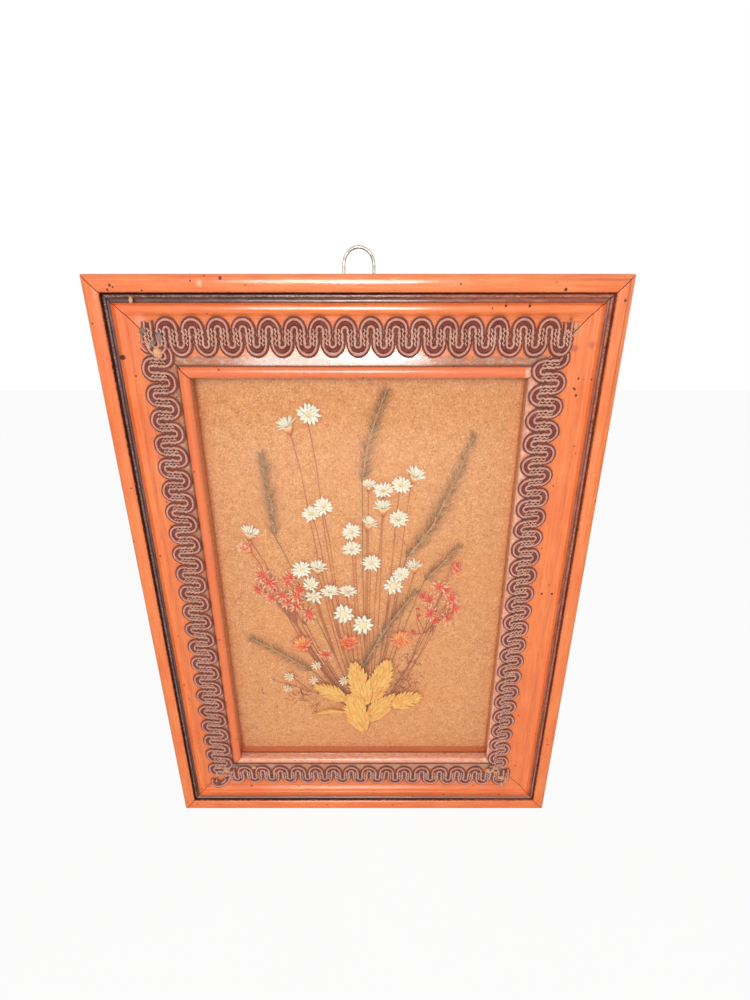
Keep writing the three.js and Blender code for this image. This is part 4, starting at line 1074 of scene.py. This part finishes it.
PLANTS = {
    "star_flower_1": plant(2.5, (-0.23, 0.897, STAR, 66, -18, "cup", 0)),
    "star_flower_2": plant(3.0, (-0.161, 0.92, LARGE, 36, 20, "star", 0)),
    "star_pair_3": plant(
        2.0, (-0.168, 0.695, STAR, 50, -12, "star", 1), (-0.126, 0.715, STAR, 40, 10, "star", 0),
    ),
    "star_flower_4": plant(3.0, (-0.382, 0.65, CUP, 62, 20, "cup", 0)),
    "star_pair_5": plant(
        0.6, (0.027, 0.765, PALE, 58, 10, "pale", 0), (0.075, 0.751, STAR, 48, 0, "dense", 1),
    ),
    "star_pair_6": plant(
        -1.5, (0.133, 0.765, STAR, 44, 12, "dense", 0), (0.179, 0.785, STAR, 60, 25, "cup", 1),
    ),
    "star_pair_7": plant(
        -1.0, (0.074, 0.712, CUP, 66, -4, "cup", 0), (0.126, 0.683, STAR, 42, 10, "dense", 1),
    ),
    "star_pair_8": plant(
        0.8, (0.026, 0.671, NARROW, 70, 20, "cup", 1), (-0.033, 0.653, STAR, 42, -20, "dense", 0),
        hub=(0.014, 0.635),
    ),
    "star_flower_9": plant(0.8, (-0.034, 0.607, STAR, 50, 0, "star", 1)),
    "star_flower_10": plant(-0.6, (0.033, 0.574, STAR, 42, 5, "dense", 0)),
    "star_pair_11": plant(
        -1.2, (0.186, 0.561, NARROW, 66, -5, "cup", 1), (0.14, 0.544, NARROW, 36, -15, "dense", 0),
        hub=(0.172, 0.512),
    ),
    "star_flower_12": plant(-1.0, (0.112, 0.511, STAR, 24, 10, "open", 1)),
    "star_pair_13": plant(
        1.5, (-0.213, 0.557, STAR, 28, -20, "star", 0), (-0.156, 0.557, STAR, 56, 5, "cup", 1),
    ),
    "star_pair_14": plant(
        1.2, (-0.184, 0.516, NARROW, 32, 10, "pale", 0), (-0.176, 0.483, CUP, 22, 180, "few", 1),
    ),
    "star_pair_15": plant(
        0.8, (-0.115, 0.497, CUP, 52, 0, "dense", 0), (-0.051, 0.494, CUP, 60, 10, "dense", 1),
    ),
    "star_flower_16": plant(0.5, (-0.068, 0.437, LARGE, 14, 10, "open", 0)),
    "star_flower_17": plant(-0.3, (0.002, 0.404, LARGE, 16, 0, "open", 0)),
    "small_star_flower_1": plant(1.0, (-0.178, 0.279, SMALL, 10, 0, "small", 1)),
    "small_star_flower_2": plant(0.5, (-0.075, 0.229, SMALL, 10, 0, "small", 1)),
    "small_star_sprig": plant(
        -2.0, (-0.286, 0.242, SMALL, 12, 0, "small", 1),
        (-0.297, 0.205, SMALL, 20, 180, "small", 1), (-0.193, 0.229, SMALL, 30, 20, "faded", 1),
        (-0.354, 0.229, 1.7, 50, -60, "faded", 1), hub=(-0.2, 0.2), stem="purple",
        twigs=(-37.0, -12.0, 53.0, 73.0, 60),
    ),
    "red_bud_left": plant(3.5, (-0.402, 0.612, 4.5, 62, -40, "redcup", 1)),
    "red_spray_left": plant(
        2.0,
        *florets(
            (-0.355, 0.54, 40, -30), (-0.367, 0.499, 55, -60), (-0.332, 0.521, 20, 0),
            (-0.326, 0.479, 40, -40), (-0.272, 0.468, 20, 0), (-0.251, 0.535, 40, 0),
            (-0.238, 0.485, 30, 40), (-0.24, 0.457, 30, -20), (-0.198, 0.425, 40, 60),
        ),
        hub=(-0.25, 0.43),
        stem="purple",
    ),
    "red_spray_right": plant(
        -2.5,
        *florets(
            (0.279, 0.507, 30, 0), (0.245, 0.471, 40, -30), (0.321, 0.471, 30, 30),
            (0.251, 0.432, 40, -50), (0.314, 0.422, 50, 70), (0.338, 0.451, 45, 60),
        ),
        (0.333, 0.553, 3.6, 60, 40, "bud", 1),
        (0.188, 0.378, 1.6, 60, 20, "bud", 1),
        (0.206, 0.427, 1.4, 60, 40, "bud", 1),
        hub=(0.26, 0.4),
        stem="purple",
        twigs=(14.5, 27.5, 60.0, 87.0, 70),
    ),
    "orange_flower_left": plant(1.5, (-0.227, 0.342, 5.9, 50, -24, "strawflower", 0)),
    "orange_flower_right": plant(-1.5, (0.142, 0.358, 5.7, 40, 5, "strawflower", 0), stem="straw"),
    "red_cup_flower": plant(
        0.3, (-0.052, 0.345, 5.6, 56, 5, "redcup", 0), stem="straw", look="orange",
    ),
    "small_red_flower": plant(0.8, (-0.141, 0.309, 3.9, 55, 0, "floret", 1)),
}
# A plant has the colours of its first head's kind; the other kinds are cream
FAMILIES = {"strawflower": "orange", "redcup": "red", "floret": "red", "bud": "red"}

# Each kind of head: how wide a petal and the centre are, then the rings of petals from the outside
# in, as count, length and lift. The inner petals of a strawflower have the centre's colour.
KINDS = {
    "star": (0.32, 0.1, (13, 1.0, 8), (12, 0.92, 26), (9, 0.74, 44), (7, 0.5, 64)),
    "dense": (0.29, 0.08, (14, 1.0, 8), (13, 0.92, 26), (10, 0.76, 44), (7, 0.52, 64)),
    "cup": (0.27, 0.08, (11, 1.04, 26), (10, 1.02, 44), (7, 0.9, 64)),
    "open": (0.38, 0.42, (10, 1.0, 6), (8, 0.84, 14)),
    "pale": (0.3, 0.2, (12, 1.0, 26), (11, 0.85, 46), (8, 0.55, 64)),
    "few": (0.36, 0.26, (8, 1.0, 6), (6, 0.75, 25)),
    "small": (0.3, 0.2, (9, 1.0, 8), (7, 0.75, 35)),
    "faded": (0.3, 0.3, (8, 1.0, 25), (5, 0.7, 45)),
    "floret": (0.27, 0.12, (8, 1.12, 10), (7, 1.0, 32), (5, 0.7, 56)),
    "bud": (0.46, 0.2, (8, 0.95, 56), (6, 0.9, 70), (4, 0.75, 82)),
    "strawflower": (0.4, 0.2, (13, 1.0, 18), (12, 0.96, 36), (10, 0.84, 52), (8, 0.6, 66)),
    "redcup": (0.46, 0.3, (11, 1.0, 28), (9, 1.0, 46), (7, 0.8, 64)),
}
PETAL_SLOT, CENTRE_SLOT, CALYX_SLOT, STEM_SLOT = range(4)


def head_axes(tilt, lean):
    """The way a head faces, and two directions across its face."""
    tilt, lean = radians(tilt), radians(lean)
    aside = Vector((sin(lean), 0, cos(lean)))
    axis = Vector((0, -cos(tilt), 0)) + aside * sin(tilt)
    first = axis.cross(aside if tilt < 1 else Vector((0, 1, 0))).normalized()
    return axis, first, axis.cross(first)


def add_petal(patches, root, outward, axis, length, width, lift, curl, slot, mark):
    """A pointed, slightly hollow petal that rises from its root and curls at its tip."""
    lift = radians(lift)
    course, widths = [], []
    for share, spread in ((0, 0.4), (0.25, 0.8), (0.55, 1.0), (0.8, 0.72), (1.0, 0.08)):
        run = length * share
        rise = run * sin(lift) + curl * length * share * share
        course.append(root + outward * (run * cos(lift)) + axis * rise)
        widths.append(width * spread)
    patches.tube(course, widths, slot, 6, [0.09] * 4 + [0.03], axis, mark)


def add_head(patches, head, rng):
    """A flower's head; returns where its stem begins."""
    across, up, radius, tilt, lean, kind, row = head
    depths = FLOWER_ROWS[row]
    centre = placed(across, up, sum(depths) / 2)
    axis, first, second = head_axes(tilt, lean)
    width, button, *rings = KINDS[kind]
    start = len(patches.points)

    def outwards(turn):
        return first * cos(turn) + second * sin(turn)

    for ring, (count, length, lift) in enumerate(rings):
        slot = CENTRE_SLOT if kind == "strawflower" and ring > 1 else PETAL_SLOT
        for i in range(count):
            outward = outwards(2 * pi * (i + 0.5 * ring + rng.uniform(-0.22, 0.22)) / count)
            root = centre + outward * (radius * (0.16 - 0.04 * ring)) + axis * (0.1 * ring)
            reach = radius * (length - 0.16) * rng.uniform(0.86, 1.08)
            wide = radius * width * 0.5 * rng.uniform(0.85, 1.15)
            raised, curl = lift + rng.uniform(-9, 9), rng.uniform(-0.12, 0.18)
            add_petal(patches, root, outward, axis, reach, wide, raised, curl, slot, rng.random())
    # The bowl under the head, where its petals join the stem
    course = [centre - axis * (radius * drop) for drop in (0.8, 0.66, 0.42, 0.16, 0.02)]
    sizes = [radius * share for share in (0.08, 0.16, 0.32, 0.42, 0.4)]
    patches.tube(course, sizes, CALYX_SLOT, 10)
    # The centre and its stamens
    button *= radius
    course = [centre - axis * 0.3, centre + axis * 0.12 * radius, centre + axis * 0.2 * radius]
    patches.tube(course, [button, button * 0.9, button * 0.4], CENTRE_SLOT, 10)
    for _ in range(26 if radius > 3 else 12):
        outward = outwards(rng.uniform(0, 2 * pi))
        reach = button * sqrt(rng.random())
        root = centre + outward * (reach * 0.8) + axis * 0.15
        tip = centre + outward * reach + axis * (0.25 * radius * rng.uniform(0.7, 1.1))
        patches.tube([root, (root + tip) / 2, tip], [0.12, 0.17, 0.1], CENTRE_SLOT, 5)
    root = centre - axis * (0.42 * radius)
    long, wide = radius * 0.62, radius * 0.13
    for i in range(CALYX_LEAVES):
        outward = outwards(2 * pi * i / CALYX_LEAVES)
        add_petal(patches, root, outward, axis, long, wide, 48, -0.25, CALYX_SLOT, 0.5)
    patches.press(start, *depths)
    return centre - axis * (0.7 * radius)


def bowed(start, end, bow, rng, steps):
    """A stem's course between two points, bowed to one side and slightly crooked."""
    run = end - start
    side = Vector((-run.z, 0, run.x)).normalized()
    points = []
    for i in range(5):
        share = i / 4
        crook = rng.uniform(-0.25, 0.25) if 0 < i < 4 else 0
        points.append(start + run * share + side * (bow * sin(pi * share) + crook))
    return eased(points, steps)


def add_stem(patches, course, radius=STEM_RADIUS, slot=STEM_SLOT):
    count = len(course)
    patches.tube(course, [radius * (1.15 - 0.35 * i / count) for i in range(count)], slot)


def hub_of(plant):
    """Where a plant's stem parts into its branches."""
    if "hub" in plant:
        return placed(*plant["hub"])
    places = [placed(*head[:2]) for head in plant["heads"]]
    middle = sum(places, Vector()) / len(places)
    if len(places) > 1:
        middle += (placed(*FOOT) - middle).normalized() * 9
    return middle


def lay_stems():
    """The foot and the depth of each stem: the longest lie deepest, in layers."""
    foot = placed(*FOOT)
    stems = [(name, hub_of(plant)) for name, plant in PLANTS.items()]
    stems += [(name, placed(*places[0])) for name, (_, *places) in SPIKES.items()]
    stems.sort(key=lambda stem: -(stem[1] - foot).length)
    laid = {}
    per_layer = ceil(len(stems) / STEM_LAYERS)
    for layer in range(STEM_LAYERS):
        row = stems[layer * per_layer : (layer + 1) * per_layer]
        row.sort(key=lambda stem: -atan2(stem[1].z - foot.z, stem[1].x - foot.x))
        for i, (name, _) in enumerate(row):
            aside = (i - (len(row) - 1) / 2) * 0.5
            depth = GROUND_FRONT - STEM_CLEARANCE - LAYER_STEP * layer
            laid[name] = foot + Vector((aside, depth, 0))
    return laid


def add_plants(laid):
    looks = plant_looks()
    for name, plant in PLANTS.items():
        rng = seeded(name)
        patches = Patches()
        foot = laid[name]
        heads = list(plant["heads"])
        # A spray has as many smaller heads again, near the ones that are listed
        for across, up, radius, tilt, lean, kind, row in plant["heads"] * ("spray" in name):
            aside = (across + rng.uniform(-0.026, 0.026), up + rng.uniform(-0.02, 0.02))
            turned = (tilt + rng.uniform(-20, 25), lean + rng.uniform(-60, 60))
            heads.append((*aside, radius * rng.uniform(0.7, 1.0), *turned, kind, row))
        necks = [add_head(patches, head, rng) for head in heads]
        if len(necks) <= 2:
            for i, neck in enumerate(necks):
                start = foot + Vector((0.45 * i, 0, 0))
                bend = start.lerp(neck, 0.88)
                bend.y = foot.y
                add_stem(patches, bowed(start, bend, plant["bow"], rng, 4) + [neck])
        else:
            hub = placed(*plant["hub"], foot.y)
            for i, neck in enumerate(necks):
                if i % 4 == 0:
                    start = foot + Vector((0.5 * (i // 4), 0, 0))
                    bend = start.lerp(hub, 0.9) + Vector((rng.uniform(-3.5, 3.5), 0, 0))
                    bow = plant["bow"] * rng.uniform(0.4, 1.4)
                    stem = bowed(start, bend, bow, rng, 3) + [neck]
                    add_stem(patches, stem, SPRAY_STEM_RADIUS)
                else:
                    branch = bowed(bend, neck, rng.uniform(-0.6, 0.6), rng, 2)
                    add_stem(patches, branch, BRANCH_RADIUS)
        if "twigs" in plant:
            add_twigs(patches, rng, *plant["twigs"])
        family = FAMILIES.get(heads[0][5], "cream")
        look = plant.get("look", family)
        materials = [looks[look, part] for part in PLANT_PARTS]
        materials.append(looks[plant.get("stem", "brown")])
        patches.piece(name + "_dried", materials, name, family + "_petals")


def add_twigs(patches, rng, left, right, low, high, count):
    """Fine dried twigs between the stems, thicker in the middle of their patch."""
    for _ in range(count):
        x = (left + right) / 2 + (right - left) * rng.gauss(0, 0.3)
        z = (low + high) / 2 + (high - low) * rng.gauss(0, 0.28)
        start = Vector((x, rng.uniform(*TWIG_DEPTHS), z))
        hair(patches, start, rng, rng.uniform(1.5, 4.5), rng.uniform(0.09, 0.2), STEM_SLOT, 0.1)


# The foxtail grasses: how wide each is and the places that its spine goes through
SPIKES = {
    "foxtail_left": (7.6, (-0.3, 0.645), (-0.304, 0.74), (-0.321, 0.837)),
    "foxtail_middle": (7.6, (0.004, 0.775), (0.035, 0.88), (0.083, 0.971)),
    "foxtail_right": (7.6, (0.156, 0.587), (0.233, 0.657), (0.301, 0.759), (0.363, 0.877)),
    "foxtail_far_right": (6.6, (0.223, 0.526), (0.285, 0.572), (0.341, 0.619)),
    "foxtail_low_right": (6.6, (0.004, 0.277), (0.088, 0.39), (0.196, 0.499)),
    "foxtail_low_left": (6.6, (-0.199, 0.261), (-0.31, 0.315), (-0.419, 0.362)),
}
SPIKE_DEPTH = 10.9
SPIKE_ROW = (9.55, 13.65)
BRISTLE, SEED, STALK, PALE_BRISTLE = range(4)
BRISTLES_PER_MM, SEEDS_PER_MM = 9, 5
BRISTLE_RADIUS, SEED_RADIUS = 0.048, 0.2
BRISTLE_REACH = 6.2


def add_spikes(laid):
    looks = foxtail_looks()
    for name, (width, *places) in SPIKES.items():
        rng = seeded(name)
        patches = Patches()
        spine = eased([placed(*place, SPIKE_DEPTH) for place in places], 12)
        foot = laid[name]
        bend = foot.lerp(spine[0], 0.9)
        bend.y = foot.y
        stem = bowed(foot, bend, rng.uniform(-1, 1), rng, 4) + [spine[0]]
        add_stem(patches, stem, STEM_RADIUS, STALK)
        add_stem(patches, spine, SPINE_RADIUS, STALK if name == "foxtail_left" else BRISTLE)
        length, half = length_of(spine), width / 2
        for _ in range(round(length * SEEDS_PER_MM)):
            add_bristle(patches, spine, rng, half * rng.uniform(0.12, 0.3), SEED_RADIUS, SEED)
        for _ in range(round(length * BRISTLES_PER_MM)):
            slot = BRISTLE if rng.random() < 0.6 else PALE_BRISTLE
            reach = BRISTLE_REACH * half / 3.8 * rng.uniform(0.6, 1.1)
            add_bristle(patches, spine, rng, reach, BRISTLE_RADIUS, slot)
        patches.press(0, *SPIKE_ROW)
        patches.piece(name + "_dried", looks, name, "foxtail")


def on_spine(spine, share):
    """A point on a spine, the direction ahead of it and the one aside."""
    along = share * (len(spine) - 1)
    i = min(int(along), len(spine) - 2)
    ahead = (spine[i + 1] - spine[i]).normalized()
    return spine[i].lerp(spine[i + 1], along - i), ahead, Vector((-ahead.z, 0, ahead.x))


def add_bristle(patches, spine, rng, reach, radius, slot):
    """One bristle or seed, pointing out and towards the tip, shorter near both ends."""
    share = rng.random()
    start, ahead, aside = on_spine(spine, share)
    wide = rng.choice((-1, 1)) * rng.uniform(0.2, 1)
    out = aside * wide + Vector((0, rng.uniform(-0.4, 0.4), 0))
    size = reach * (0.3 + 0.7 * sin(pi * min(1, share * 0.8 + 0.16)) ** 0.7)
    lean = rng.uniform(0.35, 1.1)
    middle = start + out * (0.55 * size) + ahead * (0.35 * size * lean)
    tip = start + out * size + ahead * (size * lean)
    sizes = [radius, radius * 1.2, radius * 0.35]
    patches.tube([start, middle, tip], sizes, slot, 5 if slot == SEED else 3, mark=rng.random())


# The golden husks: how wide each is, its row, and the places from its point to its base. Each is
# made of scales that overlap in pairs.
HUSKS = {
    "husk_left": (8.0, 1, (-0.188, 0.212), (-0.129, 0.194), (-0.067, 0.168)),
    "husk_thin": (2.6, 1, (-0.199, 0.117), (-0.136, 0.128), (-0.072, 0.125)),
    "husk_upper_left": (10.4, 0, (-0.034, 0.285), (-0.016, 0.232), (0.009, 0.156)),
    "husk_upper_right": (10.6, 1, (0.096, 0.292), (0.069, 0.235), (0.02, 0.162)),
    "husk_right": (9.2, 0, (0.232, 0.185), (0.174, 0.171), (0.116, 0.152)),
    "husk_lower_right": (9.8, 1, (0.126, 0.181), (0.07, 0.143), (0.019, 0.097)),
    "husk_lower_left": (11.2, 0, (-0.052, 0.191), (-0.028, 0.131), (0.001, 0.064)),
}
HUSK_ROWS = (9.6, 10.75), (10.75, 11.9)
SCALE_PITCH = 1.45
SCALE_LANES = (-1.0, -0.5, 0.5, 1.0)


def add_husks(look):
    for name, (width, row, *places) in HUSKS.items():
        rng = seeded(name)
        patches = Patches()
        low, high = HUSK_ROWS[row]
        spine = eased([placed(*place, (low + high) / 2) for place in places], 12)[::-1]
        length = length_of(spine)
        rows = max(6, round(0.86 * length / SCALE_PITCH))
        for row in range(rows):
            for lane in SCALE_LANES:
                if width > 3 or abs(lane) == 1:
                    add_scale(patches, spine, row / rows, lane, width, length, rng)
        count = len(spine)
        sizes = [
            max(0.12, 0.36 * width * sin(pi * (0.1 + 0.82 * k / count) ** 0.85))
            for k in range(count)
        ]
        patches.tube(spine, sizes, 0, 8, 0.2, FORWARD, 0.5)
        patches.press(0, low, high)
        patches.piece(name + "_scales", [look], name, "husk")


def add_scale(patches, spine, share, lane, width, length, rng):
    """A narrow pointed scale that starts near the middle and points outwards and ahead."""
    start, ahead, aside = on_spine(spine, share * 0.86)
    swell = sin(pi * (0.14 + 0.83 * share) ** 0.85)
    out = lane * width * 0.5 * swell * rng.uniform(0.9, 1.08)
    reach = (1.2 + 0.15 * length) * rng.uniform(0.85, 1.12)
    barb = 1.14 if abs(lane) == 1 else 1.04
    steps = ((0.3, 0), (0.66, 0.35), (0.9, 0.72), (barb, 1))
    course = eased([start + aside * (out * a) + ahead * (reach * b) for a, b in steps], 2)
    broad = max(0.24, width * 0.1)
    lift = Vector((0, -0.35 * (1 - 0.4 * abs(lane)) - 0.1 * rng.random(), 0))
    widths, heights = [], []
    for k, point in enumerate(course):
        share = k / (len(course) - 1)
        taper = sin(pi * (0.12 + 0.88 * share) ** 0.85) ** 0.8
        widths.append(broad * max(0.05, taper))
        heights.append(0.15 * (1 - 0.8 * share) + 0.02)
        course[k] = point + lift * (0.3 + 0.7 * share)
    patches.tube(course, widths, 0, 6, heights, FORWARD, rng.random())


def petal_look(name, base, middle, tip, fade=2.2):
    """Dry petals: darker where they join, with fine streaks along them."""
    look = Look(name)
    place = look.place()
    along, _, mark = look.axes(place)
    streaks = look.noise(place * (0.6, 26.0, 3.0), 1.0, 3)
    spot = look.noise(look.position(), 0.8, 2)
    tone = along / fade + (streaks - 0.5) * 0.5 + (mark - 0.5) * 0.25 + (spot - 0.5) * 0.3
    colour = look.ramp(tone, (0.05, base), (0.45, middle), (0.95, tip))
    return look.finish(colour=colour, roughness=0.55, normal=look.bump(streaks, 0.06), sheen=0.1)


def stem_look(name, dark, light):
    look = Look(name)
    ridges = look.noise(look.place() * (0.4, 9.0, 1.0), 1.0, 3)
    tone = ridges * 0.5 + look.noise(look.position(), 0.15, 3) * 0.5
    colour = look.ramp(tone, (0.35, dark), (0.65, light))
    return look.finish(colour=colour, roughness=0.6, normal=look.bump(ridges, 0.05))


PLANT_PARTS = ("petals", "centres", "calyx")


def plant_looks():
    """The looks of each family's petals, centres and calyx, and of the stems."""
    families = {
        "cream": (
            ((236, 196, 134), (253, 240, 204), (255, 254, 232), 2.3),
            ((246, 206, 146), (253, 226, 172), (255, 242, 200), 1.4),
            ((176, 90, 44), (236, 150, 82), (252, 206, 142), 3.6),
        ),
        "red": (
            ((240, 84, 44), (252, 118, 74), (255, 222, 172), 3.3),
            ((226, 80, 50), (246, 122, 84), (255, 190, 140)),
            ((214, 84, 54), (240, 112, 76), (250, 160, 120)),
        ),
        "orange": (
            ((216, 66, 30), (240, 92, 46), (255, 150, 92), 3.4),
            ((228, 86, 36), (248, 132, 58), (255, 186, 98), 2.8),
            ((200, 76, 42), (228, 96, 56), (242, 136, 84)),
        ),
    }
    looks = {
        "brown": stem_look("brown_stems", (190, 108, 64), (226, 150, 98)),
        "purple": stem_look("purple_stems", (164, 90, 62), (206, 130, 94)),
        "straw": stem_look("straw_stems", (206, 150, 84), (238, 190, 124)),
    }
    for family, rows in families.items():
        for part, row in zip(PLANT_PARTS, rows):
            looks[family, part] = petal_look(f"{family}_{part}", *row)
    return looks


def husk_look():
    look = Look("husk")
    place = look.place()
    veins = look.noise(place * (0.25, 22.0, 4.0), 1.0, 3)
    tone = veins * 0.7 + look.noise(look.position(), 0.25, 3) * 0.3
    tone = tone + (look.axes(place)[2] - 0.5) * 0.12
    stops = (0.34, (240, 154, 66)), (0.5, (255, 196, 100)), (0.66, (255, 218, 130))
    colour = look.ramp(tone, *stops)
    return look.finish(colour=colour, roughness=0.45, normal=look.bump(veins, 0.2))


def foxtail_looks():
    return [
        petal_look("foxtail_bristles", (128, 98, 58), (168, 128, 80), (206, 160, 108), 4.0),
        petal_look("foxtail_seeds", (150, 124, 84), (196, 168, 120), (244, 218, 172), 1.0),
        stem_look("foxtail_stalk", (138, 110, 72), (190, 156, 108)),
        petal_look("foxtail_pale_bristles", (176, 136, 92), (208, 164, 116), (236, 192, 142), 4.0),
    ]


add_camera()
add_world()
add_lamps()
add_floor()
add_rails(wood_look())
add_braids(braid_looks())
add_ground()
add_ring()
dress_nodes()
LAID = lay_stems()
add_plants(LAID)
add_spikes(LAID)
add_husks(husk_look())
bpy.context.scene.view_settings.view_transform = "Standard"
